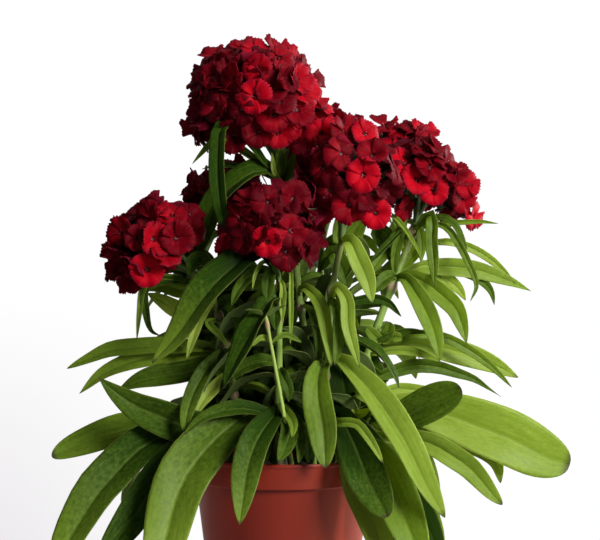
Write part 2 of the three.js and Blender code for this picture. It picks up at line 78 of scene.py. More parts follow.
# %% [markdown]
# ## Floor and light
#
# The plant stands on a white sweep. The floor is plain near the pot, so that it takes the pot's shadow, and
# glows white further out, as a lit studio background does. On the left it is a little greyer, in a wedge that
# fans out from a point in front of the pot. One large soft light comes from the right and the front. A second
# one from behind on the right shines through the leaves. A weak one hangs above, and the world fills the
# shade. Sizes of the floor, places of the lights and lengths in the finishes are in metres.
#
# Finishes are built from nodes. A few helpers make a node in one line each, so that a finish reads like a
# recipe: calc does a sum, ease makes a soft step, tint mixes two colours.

# %% Node helpers
def wire(tree, kind, sockets=None, **settings):
    """A shader node. Each socket takes a plain value or another node's output."""
    node = tree.nodes.new("ShaderNode" + kind)
    for name, value in settings.items():
        setattr(node, name, value)
    for key, value in (sockets or {}).items():
        if isinstance(value, bpy.types.NodeSocket):
            tree.links.new(value, node.inputs[key])
        else:
            node.inputs[key].default_value = value
    return node


def calc(tree, operation, *values):
    return wire(tree, "Math", dict(enumerate(values)), operation=operation).outputs[0]


def ease(tree, value, low, high):
    """0 below low, 1 above high and a soft step between them. It falls where low is above high."""
    falls = low > high
    sockets = {"Value": value, "From Min": min(low, high), "From Max": max(low, high)}
    sockets.update({"To Min": float(falls), "To Max": float(not falls)})
    return wire(tree, "MapRange", sockets, interpolation_type="SMOOTHSTEP").outputs[0]


def tint(tree, share, first, second):
    """The first colour where share is 0 and the second where it is 1."""
    sockets = {0: share, 6: colour(first), 7: colour(second)}
    return wire(tree, "Mix", sockets, data_type="RGBA").outputs[2]


def colour(value):
    return value if isinstance(value, bpy.types.NodeSocket) else (*value, 1.0)


def new_material(name):
    material = bpy.data.materials.new(name)
    material.use_nodes = True
    material.node_tree.nodes.clear()
    return material, material.node_tree


print("helpers:", ", ".join(helper.__name__ for helper in (wire, calc, ease, tint, colour, new_material)))

# %% Floor
FLOOR_REACH = 30.0
FLOOR_WHITE = (0.93, 0.925, 0.935)
FLOOR_BOUNCE = (0.30, 0.30, 0.30)
GLOW_WHITE = (1.02, 1.02, 1.02)
GLOW_SHADE = (0.74, 0.71, 0.74)
PLAIN_WITHIN, GLOW_BEYOND = 0.16, 0.34
FAN_FROM, FAN_STARTS, FAN_FULL, FAN_SHARE = 0.96, -0.02, -0.22, 0.85

floor_paint, tree = new_material("white sweep")
place = wire(tree, "TexCoord").outputs["Object"]
distance = wire(tree, "VectorMath", {0: place}, operation="LENGTH").outputs["Value"]
seen = wire(tree, "LightPath").outputs["Is Camera Ray"]
plain = wire(tree, "BsdfDiffuse", {"Color": tint(tree, seen, FLOOR_BOUNCE, FLOOR_WHITE)}).outputs[0]
parts = wire(tree, "SeparateXYZ", {0: place}).outputs
# The greyer wedge on the left of the glow is painted shade.
near = calc(tree, "DIVIDE", 1.0, calc(tree, "ADD", parts[1], FAN_FROM))
leftward = ease(tree, calc(tree, "MULTIPLY", parts[0], near), FAN_STARTS, FAN_FULL)
shaded = calc(tree, "MULTIPLY", leftward, calc(tree, "MULTIPLY", near, FAN_SHARE))
glow = wire(tree, "Emission", {"Color": tint(tree, shaded, GLOW_WHITE, GLOW_SHADE)}).outputs[0]
far = calc(tree, "MULTIPLY", ease(tree, distance, PLAIN_WITHIN, GLOW_BEYOND), seen)
sweep = wire(tree, "MixShader", {0: far, 1: plain, 2: glow}).outputs[0]
wire(tree, "OutputMaterial", {"Surface": sweep})

floor_mesh = bpy.data.meshes.new("floor")
corners = [(x * FLOOR_REACH, y * FLOOR_REACH, 0) for x, y in ((-1, -1), (1, -1), (1, 1), (-1, 1))]
floor_mesh.from_pydata(corners, [], [(0, 1, 2, 3)])
floor_mesh.materials.append(floor_paint)
floor = bpy.data.objects.new("floor", floor_mesh)
bpy.context.scene.collection.objects.link(floor)
print("the floor reaches", FLOOR_REACH, "m each way")

# %% Lights
LIT_HEIGHT = 0.22


def soft_light(name, place, size, power, tone):
    """A square area light in metres that faces the middle of the plant."""
    data = bpy.data.lights.new(name, "AREA")
    data.size = size
    data.energy = power
    data.color = tone
    light = bpy.data.objects.new(name, data)
    light.location = place
    aim = np.array([0.0, 0.0, LIT_HEIGHT]) - place
    level = math.hypot(aim[0], aim[1])
    light.rotation_euler = (math.atan2(level, -aim[2]), 0, math.atan2(aim[1], aim[0]) - math.pi / 2)
    bpy.context.scene.collection.objects.link(light)


soft_light("key", (0.95, -1.05, 0.80), 0.6, 48, (1.0, 0.985, 0.96))
soft_light("through", (1.05, 0.60, 0.50), 0.7, 30, (1.0, 1.0, 0.96))
soft_light("top", (0.2, 0.1, 1.5), 0.7, 6, (0.98, 0.99, 1.0))

# %% Room
ROOM_GLOW = 0.06
BACKDROP_GLOW = 0.60
BACKDROP_SEEN = 1.04
BACKDROP_TONE = (0.985, 0.985, 1.0, 1.0)

world = bpy.data.worlds.new("studio")
world.use_nodes = True
world.node_tree.nodes.clear()
tree = world.node_tree
seen = wire(tree, "LightPath").outputs["Is Camera Ray"]
toward = wire(tree, "SeparateXYZ", {0: wire(tree, "TexCoord").outputs["Generated"]}).outputs
behind = wire(tree, "MapRange", {"Value": toward[1], "From Min": -0.3, "From Max": 0.9}).outputs[0]
fill = wire(tree, "MapRange", {"Value": behind, "To Min": ROOM_GLOW, "To Max": BACKDROP_GLOW}).outputs[0]
fill = wire(tree, "MapRange", {"Value": seen, "To Min": fill, "To Max": BACKDROP_SEEN}).outputs[0]
backdrop = wire(tree, "Background", {"Color": BACKDROP_TONE, "Strength": fill})
wire(tree, "OutputWorld", {"Surface": backdrop.outputs[0]})
bpy.context.scene.world = world
print("the room glows", ROOM_GLOW, "in front of the plant and", BACKDROP_GLOW, "behind it")

# %% [markdown]
# ## Skins
#
# Almost everything on a plant is a soft strip: a leaf, a petal, a stem, a stalk. Each could be a curve with a
# bevel, but a curve gives no control over its cross-section. Here each is a row of rings of points, and a
# closed skin is drawn over the rings, so that even a petal is a real solid with two faces and a thickness.
# Numbers that the finishes read, such as how far along a leaf a point is, are kept at each point: across runs
# from -1 to 1, along from 0 to 1, tone from dark to bright, and under is 1 on the underside.

# %% Skins
def unit(vector):
    vector = np.asarray(vector, float)
    return vector / np.linalg.norm(vector, axis=-1, keepdims=True)


def lerp(first, second, share):
    return first + (second - first) * share


def skin(rows, around):
    """The four-sided faces over rings of an even number of points, with both ends closed."""
    here = np.arange(around)
    start = np.arange(rows - 1)[:, None] * around
    after = (here + 1) % around
    wall = np.stack([start + here, start + after, start + around + after, start + around + here], -1)
    edge = np.arange(around // 2 - 1)
    cap = np.stack([edge, around - 1 - edge, around - 2 - edge, edge + 1], -1)
    return np.concatenate([wall.reshape(-1, 4), cap, cap[:, ::-1] + (rows - 1) * around])


def volume(points, faces):
    """Six times the space that the skin encloses. It is below zero where the faces look inward."""
    a, b, c, d = (points[faces[:, k]] - points.mean(0) for k in range(4))
    return float(np.sum(a * np.cross(b, c)) + np.sum(a * np.cross(c, d)))


print("a tube of 3 rings with 8 points each has", len(skin(3, 8)), "faces")

# %% Pieces
class Piece:
    """Collects closed skins with the numbers for their finish, and makes one object of them."""

    def __init__(self, name):
        self.name = name
        self.points, self.faces, self.paints, self.finish = [], [], [], []
        self.count = 0

    def add(self, rings, paint=0, **finish):
        rows, around = rings.shape[:2]
        points = rings.reshape(-1, 3)
        faces = skin(rows, around)
        if volume(points, faces) < 0:
            faces = faces[:, ::-1]
        self.points.append(points)
        self.faces.append(faces + self.count)
        self.paints.append(np.full(len(faces), paint))
        spread = {key: np.broadcast_to(value, (rows, around)).ravel() for key, value in finish.items()}
        self.finish.append((len(points), spread))
        self.count += len(points)

    def make(self, paints, slot, *nodes):
        mesh = bpy.data.meshes.new(self.name)
        points = np.concatenate(self.points) * MM
        faces = np.concatenate(self.faces)
        mesh.from_pydata(points.tolist(), [], faces.tolist())
        mesh.polygons.foreach_set("material_index", np.concatenate(self.paints).astype(np.int32))
        mesh.polygons.foreach_set("use_smooth", np.ones(len(faces), bool))
        for key in sorted({key for _, spread in self.finish for key in spread}):
            values = [spread.get(key, np.zeros(count)) for count, spread in self.finish]
            attribute = mesh.attributes.new(key, "FLOAT", "POINT")
            attribute.data.foreach_set("value", np.concatenate(values).astype(np.float32))
        for paint in paints:
            mesh.materials.append(paint)
        piece = bpy.data.objects.new(self.name, mesh)
        bpy.context.scene.collection.objects.link(piece)
        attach(piece, "root")
        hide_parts(*nodes)
        print(f"{self.name}: {2 * len(faces)} triangles")
        return piece


print("every piece is a set of closed skins in one mesh")

# %% [markdown]
# ## Leaf finish
#
# A sweet william leaf is smooth and slightly waxy, with a pale midrib in a groove, faint veins that run along
# the blade, a thin pale margin and a darker tip. Its underside is paler and greyer. It is thin enough for
# light to come through, so the surface mixes a glossy shader with a translucent one. The veins follow the
# numbers kept at each point, so they bend with every blade, which a flat pattern wouldn't do. Pale leaves
# shine more than dark ones. An export can't keep such a link, so the socket also has a plain middle value.

# %% Leaf finish
def read(tree, name):
    return wire(tree, "Attribute", attribute_name=name).outputs["Fac"]


def ramp(tree, share, stops):
    """A colour that changes with share through (place, colour) stops."""
    node = wire(tree, "ValToRGB", {0: share})
    while len(node.color_ramp.elements) < len(stops):
        node.color_ramp.elements.new(0.5)
    for element, (place, tone) in zip(node.color_ramp.elements, stops):
        element.position = place
        element.color = (*tone, 1.0)
    return node.outputs[0]


def streaks(tree, across, along, tone, thin, long):
    """Noise that is drawn out along a blade, and differs from blade to blade."""
    parts = [calc(tree, "MULTIPLY", across, thin), calc(tree, "MULTIPLY", along, long)]
    where = wire(tree, "CombineXYZ", {0: parts[0], 1: parts[1], 2: calc(tree, "MULTIPLY", tone, 47.0)})
    return wire(tree, "TexNoise", {"Vector": where.outputs[0], "Scale": 1.0, "Detail": 3.0}).outputs["Fac"]


WHOLE_WAVE = 6.283
LEAF_GREENS = [
    (0.0, (0.020, 0.052, 0.004)),
    (0.35, (0.074, 0.134, 0.010)),
    (0.65, (0.155, 0.245, 0.020)),
    (1.0, (0.275, 0.370, 0.052)),
]
SHADE_GREEN = (0.007, 0.017, 0.002)
LEAF_GLOSS, GLOSS_GAIN, GLOSS_LEAST = 0.12, 0.15, 0.03
VEIN_GREEN, MIDRIB_GREEN = (0.20, 0.30, 0.04), (0.30, 0.40, 0.10)
UNDER_GREEN = (0.19, 0.26, 0.09)
MARGIN_YELLOW, TIP_BROWN = (0.32, 0.31, 0.08), (0.055, 0.050, 0.022)
LIGHT_THROUGH_DARK, LIGHT_THROUGH_PALE = (0.06, 0.10, 0.006), (0.60, 0.72, 0.06)


def leaf_finish():
    """Tones under 0 fade to the near-black green of leaves in the shade of others."""
    material, tree = new_material("leaf")
    across, along, tone, under = (read(tree, name) for name in ("across", "along", "tone", "under"))
    aside = calc(tree, "ABSOLUTE", across)
    streak = streaks(tree, across, along, tone, 7.0, 3.0)
    blotch = wire(tree, "TexNoise", {"Scale": 45.0, "Detail": 2.0}).outputs["Fac"]
    shade = calc(tree, "MULTIPLY_ADD", calc(tree, "SUBTRACT", streak, 0.5), 0.42, tone)
    shade = calc(tree, "MULTIPLY_ADD", calc(tree, "SUBTRACT", blotch, 0.5), 0.35, shade)
    blade = ramp(tree, shade, LEAF_GREENS)
    slanted = calc(tree, "MULTIPLY_ADD", aside, -3.6, calc(tree, "MULTIPLY", along, 9.0))
    slanted = calc(tree, "MULTIPLY_ADD", streak, 0.5, slanted)
    vein = ease(tree, calc(tree, "SINE", calc(tree, "MULTIPLY", slanted, WHOLE_WAVE)), 0.88, 1.0)
    vein = calc(tree, "MULTIPLY", vein, 0.12)
    blade = tint(tree, vein, blade, VEIN_GREEN)
    midrib = calc(tree, "MULTIPLY", ease(tree, aside, 0.10, 0.02), ease(tree, along, 1.0, 0.3))
    blade = tint(tree, calc(tree, "MULTIPLY", midrib, 0.2), blade, MIDRIB_GREEN)
    margin = calc(tree, "MULTIPLY", ease(tree, aside, 0.95, 1.0), 0.45)
    blade = tint(tree, margin, blade, MARGIN_YELLOW)
    blade = tint(tree, under, blade, tint(tree, 0.5, blade, UNDER_GREEN))
    blade = tint(tree, ease(tree, tone, 0.04, -0.30), blade, SHADE_GREEN)
    blade = tint(tree, ease(tree, along, 0.955, 1.0), blade, TIP_BROWN)
    height = calc(tree, "MULTIPLY_ADD", streak, 0.5, calc(tree, "MULTIPLY", vein, -1.5))
    height = calc(tree, "MULTIPLY_ADD", midrib, -0.6, height)
    bump = wire(tree, "Bump", {"Height": height, "Strength": 0.5, "Distance": 0.0005}).outputs[0]
    rough = calc(tree, "MULTIPLY_ADD", streak, 0.22, 0.36)
    gloss = wire(tree, "BsdfPrincipled", {"Base Color": blade, "Roughness": rough, "Normal": bump})
    pale = ease(tree, shade, 0.0, 0.6)
    shine = gloss.inputs["Specular IOR Level"]
    shine.default_value = LEAF_GLOSS
    tree.links.new(calc(tree, "MULTIPLY_ADD", pale, GLOSS_GAIN, GLOSS_LEAST), shine)
    through = tint(tree, 0.5, blade, tint(tree, pale, LIGHT_THROUGH_DARK, LIGHT_THROUGH_PALE))
    lit = wire(tree, "BsdfTranslucent", {"Color": through, "Normal": bump})
    both = wire(tree, "MixShader", {0: 0.42, 1: gloss.outputs[0], 2: lit.outputs[0]})
    wire(tree, "OutputMaterial", {"Surface": both.outputs[0]})
    return material


LEAF = leaf_finish()
print("the leaf finish has", len(LEAF.node_tree.nodes), "nodes")

# %% Stem finish
def stem_finish():
    """Green with darker and paler streaks. The swollen joints are tan to pink."""
    material, tree = new_material("stem")
    joint, along, tone = (read(tree, name) for name in ("joint", "along", "tone"))
    place = wire(tree, "TexCoord").outputs["Object"]
    upright = wire(tree, "Mapping", {"Vector": place, "Scale": (1, 1, 0.12)}).outputs[0]
    streak = wire(tree, "TexNoise", {"Vector": upright, "Scale": 900.0, "Detail": 2.0}).outputs["Fac"]
    green = tint(tree, streak, (0.050, 0.105, 0.012), (0.130, 0.205, 0.032))
    green = tint(tree, calc(tree, "MULTIPLY", tone, 0.7), green, (0.26, 0.36, 0.08))
    swollen = calc(tree, "MULTIPLY", ease(tree, joint, 0.35, 0.95), 0.75)
    green = tint(tree, swollen, green, tint(tree, streak, (0.22, 0.13, 0.09), (0.40, 0.27, 0.19)))
    blush = calc(tree, "MULTIPLY", ease(tree, along, 0.75, 1.0), 0.35)
    green = tint(tree, blush, green, (0.16, 0.09, 0.05))
    bump = wire(tree, "Bump", {"Height": streak, "Strength": 0.35, "Distance": 0.0003}).outputs[0]
    gloss = wire(tree, "BsdfPrincipled", {"Base Color": green, "Roughness": 0.5, "Normal": bump})
    gloss.inputs["Specular IOR Level"].default_value = 0.14
    wire(tree, "OutputMaterial", {"Surface": gloss.outputs[0]})
    return material


STEM = stem_finish()
print("the stem finish has", len(STEM.node_tree.nodes), "nodes")

# %% [markdown]
# ## Leafy stems
#
# Each shoot is a few given points up its stem, the stem's radius at its foot and at its top, the
# heights of its swollen joints and its leaves. A leaf is [height of its joint, turn, reach of the tip, rise
# of the tip, bend, width, roll]. A turn of 0 is to the right and one of -90 to the front. Turns, bends and
# rolls are in degrees, the rest in millimetres. Such leaves are plain arcs, like those of the CAD model.

# %% Flowering stems
SHOOTS = {
    "flowering_stem_top": (
        [[20, 2, 93], [18, 0, 130], [17, -2, 170], [11, -4, 210], [7, -4, 248], [0, -2, 288]],
        [2.6, 1.9],
        [170, 213, 248, 287],
        [
            [287, 170, 52, 10, 50, 9, -30],
            [287, 40, 40, 8, 60, 9, 20],
            [248, 88, 40, -20, 90, 13, 0],
            [210, 165, 52, 8, 50, 14, -30],
            [210, -62, 20, -38, 100, 9, 0],
            [170, 100, 42, -12, 80, 16, 0],
            [170, -120, 34, -22, 80, 12, 0],
        ],
    ),
    "flowering_stem_right": (
        [[34, -6, 93], [38, -6, 120], [54, -2, 178], [72, 8, 226], [80, 14, 245], [86, 18, 262]],
        [2.9, 2.3],
        [178, 226, 261],
        [
            [261, 110, 40, -10, 80, 10, 0],
            [226, 150, 40, -10, 70, 12, -20],
            [178, 60, 70, -20, 70, 18, 0],
        ],
    ),
    "flowering_stem_middle": (
        [[14, -20, 93], [20, -26, 130], [27, -28, 171], [30, -28, 213], [33, -27, 232], [37, -26, 250]],
        [2.7, 1.9],
        [171, 224],
        [
            [249, 60, 36, -10, 70, 9, 0],
        ],
    ),
    "flowering_stem_front": (
        [[-4, -28, 93], [-3, -32, 130], [-2, -36, 175], [-2, -38, 213], [-2, -38, 226]],
        [2.6, 1.9],
        [172, 207, 225],
        [
            [172, 172, 36, -16, 70, 14, -30, {"tone": 0.0}],
        ],
    ),
    "flowering_stem_left": (
        [[-24, -4, 93], [-28, -6, 130], [-34, -8, 172], [-42, -8, 208], [-50, -8, 224]],
        [2.6, 1.9],
        [158, 172, 190, 208, 223],
        [
            [223, 130, 44, -10, 80, 9, 0],
            [190, 126, 40, -16, 80, 15, -10],
        ],
    ),
    "flowering_stem_back_left": (
        [[-14, 18, 93], [-22, 26, 170], [-32, 34, 225], [-38, 38, 256]],
        [2.5, 1.8],
        [180, 225, 255],
        [
            [255, 120, 44, -34, 100, 10, 0],
            [255, -166, 44, -20, 90, 10, -30],
            [225, 150, 70, -20, 85, 18, -20],
            [225, 70, 60, -24, 85, 16, 0],
            [180, 90, 74, -20, 80, 20, 0],
            [180, 164, 80, -10, 70, 20, -25],
        ],
    ),
    "flowering_stem_back_right": (
        [[16, 16, 93], [22, 26, 170], [24, 34, 222], [26, 38, 250], [34, 46, 280]],
        [2.5, 1.8],
        [185, 232, 279],
        [
            [279, 100, 44, -34, 100, 10, 0],
            [279, 10, 40, -20, 90, 10, 25],
            [232, 100, 72, -30, 90, 18, 0],
            [232, 40, 70, -20, 85, 17, 0],
            [185, 95, 80, -20, 80, 20, 0],
            [185, 30, 80, -14, 70, 20, 20],
        ],
    ),
}
print(len(SHOOTS), "flowering stems")

# %% Leafy shoots
SHOOTS |= {
    "leafy_shoot_front_left": (
        [[-31, -20, 93], [-33, -20, 116], [-34, -20, 138]],
        [2.6, 2],
        [128, 137],
        [
            [137, -40, 30, 4, 50, 11, 0],
        ],
    ),
    "leafy_shoot_left": (
        [[-45, -2, 93], [-46, -2, 112], [-48, -2, 129]],
        [2.6, 2],
        [120, 122, 128],
        [
            [128, 140, 74, -24, 60, 20, -25],
            [120, 124, 80, -44, 70, 22, 0],
        ],
    ),
    "leafy_shoot_front": (
        [[0, -42, 93], [0, -44, 112], [0, -44, 132]],
        [2.6, 2],
        [118, 128, 132],
        [
            [132, 0, 20, 6, 40, 10, 0],
        ],
    ),
    "leafy_shoot_front_right": (
        [[29, -34, 93], [31, -35, 116], [32, -35, 137]],
        [2.6, 2],
        [127, 136],
        [],
    ),
    "leafy_shoot_right": (
        [[45, -8, 93], [47, -8, 112], [56, -8, 138]],
        [2.7, 2],
        [124, 127, 137],
        [
            [127, 34, 56, -22, 60, 16, 25],
        ],
    ),
    "leafy_shoot_back_right": (
        [[35, 27, 93], [38, 30, 112], [42, 34, 134]],
        [2.6, 2],
        [127, 133, 134],
        [
            [134, 20, 90, -4, 56, 22, 25],
            [134, 75, 84, -10, 60, 22, 0],
            [133, 85, 20, 66, 30, 24, 0],
            [133, -95, 12, 58, 30, 21, 0],
            [127, 45, 96, -60, 74, 24, 0],
            [127, 96, 80, -66, 80, 20, 0],
        ],
    ),
    "leafy_shoot_back": (
        [[0, 43, 93], [0, 46, 112], [0, 50, 134]],
        [2.6, 2],
        [127, 133, 134],
        [
            [134, 95, 84, -10, 60, 22, 0],
            [134, 55, 60, 20, 40, 16, 0],
            [133, 100, 18, 70, 30, 24, 0],
            [133, -90, 10, 60, 30, 22, 0],
            [127, 78, 90, -70, 80, 24, 0],
            [127, 112, 80, -62, 80, 20, 0],
        ],
    ),
    "leafy_shoot_back_left": (
        [[-33, 27, 93], [-36, 30, 112], [-40, 34, 134]],
        [2.6, 2],
        [127, 133, 134],
        [
            [134, 120, 84, -8, 60, 22, 0],
            [133, 104, 18, 68, 30, 24, 0],
            [133, -85, 10, 44, 30, 21, 0],
            [134, 158, 72, -28, 60, 20, -25],
            [127, 142, 94, -60, 70, 24, -10],
            [127, 96, 76, -50, 84, 20, 0],
        ],
    ),
    "young_shoot_front": (
        [[9, -46, 93], [1.5, -50, 142], [-10, -54, 205]],
        [1.5, 1],
        [204],
        [
            [204, -150, 13, 4, 40, 5, 0],
            [204, -20, 12, 7, 30, 5, 0],
        ],
    ),
}
print(len(SHOOTS), "shoots with", sum(len(leaves) for *_, leaves in SHOOTS.values()), "plain leaves")

# %% Stems
SOIL_TOP = 105
UPRIGHT = 3
STEM_SIDES = 12
STEM_STEP = 1.6
SWELL = 0.55
SWELL_REACH = 3.4
SWELL_DROP = 5


def smooth_route(points, steps=24):
    """A smooth line through the points, which are taken by the root of the way between them."""
    points = np.array(points, float)
    ends = [2 * points[0] - points[1]], [2 * points[-1] - points[-2]]
    points = np.concatenate([ends[0], points, ends[1]])
    line = []
    for a, b, c, d in zip(points, points[1:], points[2:], points[3:]):
        before, middle, after = (math.sqrt(np.linalg.norm(q - p)) for p, q in ((a, b), (b, c), (c, d)))
        leave = ((b - a) / before - (c - a) / (before + middle) + (c - b) / middle) * middle
        arrive = ((c - b) / middle - (d - b) / (middle + after) + (d - c) / after) * middle
        for t in np.arange(steps) / steps:
            square, cube = (-3 * b + 3 * c - 2 * leave - arrive), (2 * b - 2 * c + leave + arrive)
            line.append(b + leave * t + square * t * t + cube * t**3)
    return np.array([*line, points[-2]])


def stem_line(route):
    """The middle of the stem by height. It stands upright where it goes into the soil."""
    line = smooth_route(route)

    def at(height):
        bent = np.maximum(height, SOIL_TOP + UPRIGHT)
        x, y = (np.interp(bent, line[:, 2], line[:, k]) for k in (0, 1))
        return np.stack([x, y, np.broadcast_to(height, x.shape) * 1.0], -1)

    return at


def tube(line, radii, sides, phase=0.0):
    """Rings round a line of points, square to it."""
    along = unit(np.gradient(line, axis=0))
    side = unit(np.cross(along, [0.2, 1.0, 0.1]))
    front = np.cross(along, side)
    turn = phase + np.arange(sides) / sides * 2 * math.pi
    out = side[:, None] * np.cos(turn)[:, None] + front[:, None] * np.sin(turn)[:, None]
    return line[:, None] + out * np.broadcast_to(radii, len(line))[:, None, None]


def add_stem(piece, at, foot, top, radii, joints, tone):
    """A tapered stem that swells just below each joint."""
    heights = np.arange(foot, top + STEM_STEP, STEM_STEP).clip(max=top)
    near = np.exp(-(((heights[:, None] + SWELL_DROP - np.array(joints)) / SWELL_REACH) ** 2)).max(1)
    share = (heights - foot) / (top - foot)
    rings = tube(at(heights), lerp(radii[0], radii[1], share) * (1 + SWELL * near), STEM_SIDES)
    piece.add(rings, 1, joint=near[:, None], along=share[:, None], tone=tone)


print("a flowering stem is", 2 * SHOOTS["flowering_stem_right"][1][0], "mm thick at its foot")

# %% [markdown]
# ## Leaves
#
# A blade hangs in an arc, so its midrib is a circle's arc in an upright plane, or else a smooth line through
# a few points. Its two halves fold up from the midrib, more at the root than at the tip, and it twists on its
# way out. Fine blades add what the plain solids leave out: rounded halves, slow waves along both margins, a
# keel under the midrib and thin edges.

# %% Blades
LEAF_ROWS = 22
LEAF_ACROSS = np.array([-1, -0.86, -0.6, -0.32, -0.1, 0, 0.1, 0.32, 0.6, 0.86, 1])
BLADE_START, BLADE_SWELL, BLADE_TAPER = 0.03, 0.8, 0.8
FOLD_AT_ROOT, FOLD_AT_TIP = math.radians(38), math.radians(12)
LEAF_ROOT = 1.4


def blade_width(t, taper):
    """The width of a lance-shaped blade along its length, as a share of its widest."""
    widest = (BLADE_SWELL - BLADE_START * taper) / (BLADE_SWELL + taper)

    def shape(at):
        return (at + BLADE_START) ** BLADE_SWELL * (1 - at) ** taper

    return shape(t) / shape(widest)


def arc_frame(root, turn, reach, rise, bend, roll, t):
    """The midrib's points, and the directions along, across and up from the blade there."""
    chord, slope, arc = math.hypot(reach, rise), math.atan2(rise, reach), math.radians(bend)
    radius = chord / (2 * math.sin(arc / 2))
    start = slope + arc / 2
    angle = start - arc * t
    ahead = np.array([math.cos(math.radians(turn)), math.sin(math.radians(turn)), 0.0])
    up = np.array([0.0, 0.0, 1.0])
    level = np.cross(ahead, up)
    out = radius * (math.sin(start) - np.sin(angle))
    lift = radius * (np.cos(angle) - math.cos(start))
    rib = root + ahead * LEAF_ROOT + out[:, None] * ahead + lift[:, None] * up
    forward = np.cos(angle)[:, None] * ahead + np.sin(angle)[:, None] * up
    twist = np.radians(roll * np.minimum(1, 0.25 + 1.5 * t))[:, None]
    side = level * np.cos(twist) + np.cross(forward, level) * np.sin(twist)
    return rib, forward, side, np.cross(side, forward)


def route_frame(root, points, roll, t):
    """The same for a blade whose midrib runs through the points. Without roll it faces the camera."""
    line = smooth_route([root, *points])
    far = np.concatenate([[0], np.cumsum(np.linalg.norm(np.diff(line, axis=0), axis=1))])
    rib = np.stack([np.interp(t * far[-1], far, line[:, k]) for k in range(3)], -1)
    forward = unit(np.gradient(rib, axis=0))
    side = unit(np.cross(forward, [0.0, -1.0, 0.2]))
    twist = math.radians(roll)
    side = side * math.cos(twist) + np.cross(forward, side) * math.sin(twist)
    return rib, forward, side, np.cross(side, forward)


print("a blade starts", LEAF_ROOT, "mm from the middle of its stem")

# %% Adding a leaf
THINNEST_HALF = 0.14
WAVE_HEIGHT, SWAY = 0.10, 0.02
FULL_TURN = 6.28


def add_leaf(piece, root, spec, tone, random):
    """A blade, either as an arc (see above) or as [points of the midrib, width, roll]."""
    special = spec[-1] if isinstance(spec[-1], dict) else {}
    taper = special.get("blunt", BLADE_TAPER)
    t = np.sin(np.linspace(0, math.pi / 2, LEAF_ROWS))
    if isinstance(spec[0], list):
        points, width, roll = spec[:3]
        rib, _, side, face = route_frame(root, points, roll, t)
    else:
        turn, reach, rise, bend, width, roll = spec[:6]
        rib, _, side, face = arc_frame(root, turn, reach, rise, bend, roll, t)
    half = np.maximum(width / 2 * blade_width(t, taper), THINNEST_HALF)
    fold = lerp(FOLD_AT_ROOT, FOLD_AT_TIP, t)
    s = LEAF_ACROSS
    aside = np.abs(s)
    waves, phases = random.uniform(1.4, 2.6), random.uniform(0, FULL_TURN, 2)
    phase = np.where(s < 0, phases[0], phases[1])
    wave = np.sin(2 * math.pi * waves * t[:, None] + phase) * aside**2 * WAVE_HEIGHT
    dome = 1.22 * aside - 0.22 * aside**3
    spread = half[:, None] * np.cos(fold)[:, None] * s
    raised = half[:, None] * (np.sin(fold)[:, None] * dome + wave)
    sway = np.sin(math.pi * t) * np.linalg.norm(rib[-1] - rib[0]) * random.uniform(-SWAY, SWAY)
    middle = rib[:, None] + side[:, None] * (spread + sway[:, None])[..., None]
    raised = raised - 0.45 * np.exp(-((aside / 0.07) ** 2)) * np.minimum(1, half / 5)[:, None]
    thick = 0.24 + 0.34 * (1 - aside) * np.minimum(1, half / 4)[:, None]
    keel = 0.7 * np.exp(-((aside / 0.09) ** 2)) * (1 - t[:, None]) ** 0.7 * np.minimum(1, half / 3)[:, None]
    above = middle + face[:, None] * (raised + thick / 2)[..., None]
    below = middle + face[:, None] * (raised - thick / 2 - keel)[..., None]
    rings = np.concatenate([above, below[:, ::-1]], 1)
    piece.add(
        rings,
        0,
        across=np.concatenate([s, s[::-1]]),
        along=t[:, None],
        under=np.concatenate([s * 0, s * 0 + 1]),
        tone=lerp(tone, special.get("tip", tone), t[:, None]),
    )


widest = blade_width(np.linspace(0, 1, 101), BLADE_TAPER).argmax()
print("a blade is widest", widest, "% of the way out")

# %% [markdown]
# ## Small leaves
#
# Side shoots fill the heart of a sweet william with smaller leaves, which the plain model leaves out. Those
# that stand behind the heads are listed in the same way as the large ones. Some end with a tone, from
# 0 for a deep green to 1 for a pale one. The rest follow a rule, which comes with the making of the stems.
# Such a tone is partly painted shade: the small leaves under the front and middle heads are given low ones.

# %% Small leaves
SMALL_LEAVES = {
    "flowering_stem_top": [
        [235, 100, 36, -30, 80, 16, 0],
        [222, 30, 44, -30, 80, 14, 10],
        [222, -170, 40, -36, 80, 14, -10],
        [190, 150, 44, -26, 80, 16, 0],
        [190, 60, 40, -24, 80, 16, 0],
    ],
    "flowering_stem_middle": [
        [196, 70, 44, -30, 80, 15, 0, {"tone": 0.1}],
        [190, -20, 44, -30, 80, 12, 10, {"tone": 0.1}],
        [228, 100, 44, -40, 80, 15, 0, {"tone": 0.1}],
    ],
    "flowering_stem_front": [
        [213, 150, 44, -38, 80, 15, 0, {"tone": 0.0}],
        [196, 60, 36, -34, 80, 14, 0, {"tone": 0.0}],
        [186, 170, 46, -30, 80, 16, -10, {"tone": 0.0}],
    ],
    "flowering_stem_left": [
        [196, 20, 40, -24, 80, 16, 0],
        [184, 80, 40, -30, 80, 16, 0],
        [172, 30, 46, -22, 80, 16, 0],
        [158, -20, 36, -20, 80, 13, 0],
    ],
    "flowering_stem_right": [
        [226, 178, 38, -30, 80, 14, -10],
        [240, 165, 40, -24, 80, 13, 0],
        [204, 160, 40, -26, 80, 14, 0],
    ],
    "leafy_shoot_front": [
        [130, 40, 26, 4, 60, 10, 0],
    ],
}
print(sum(len(leaves) for leaves in SMALL_LEAVES.values()), "small leaves placed by hand")
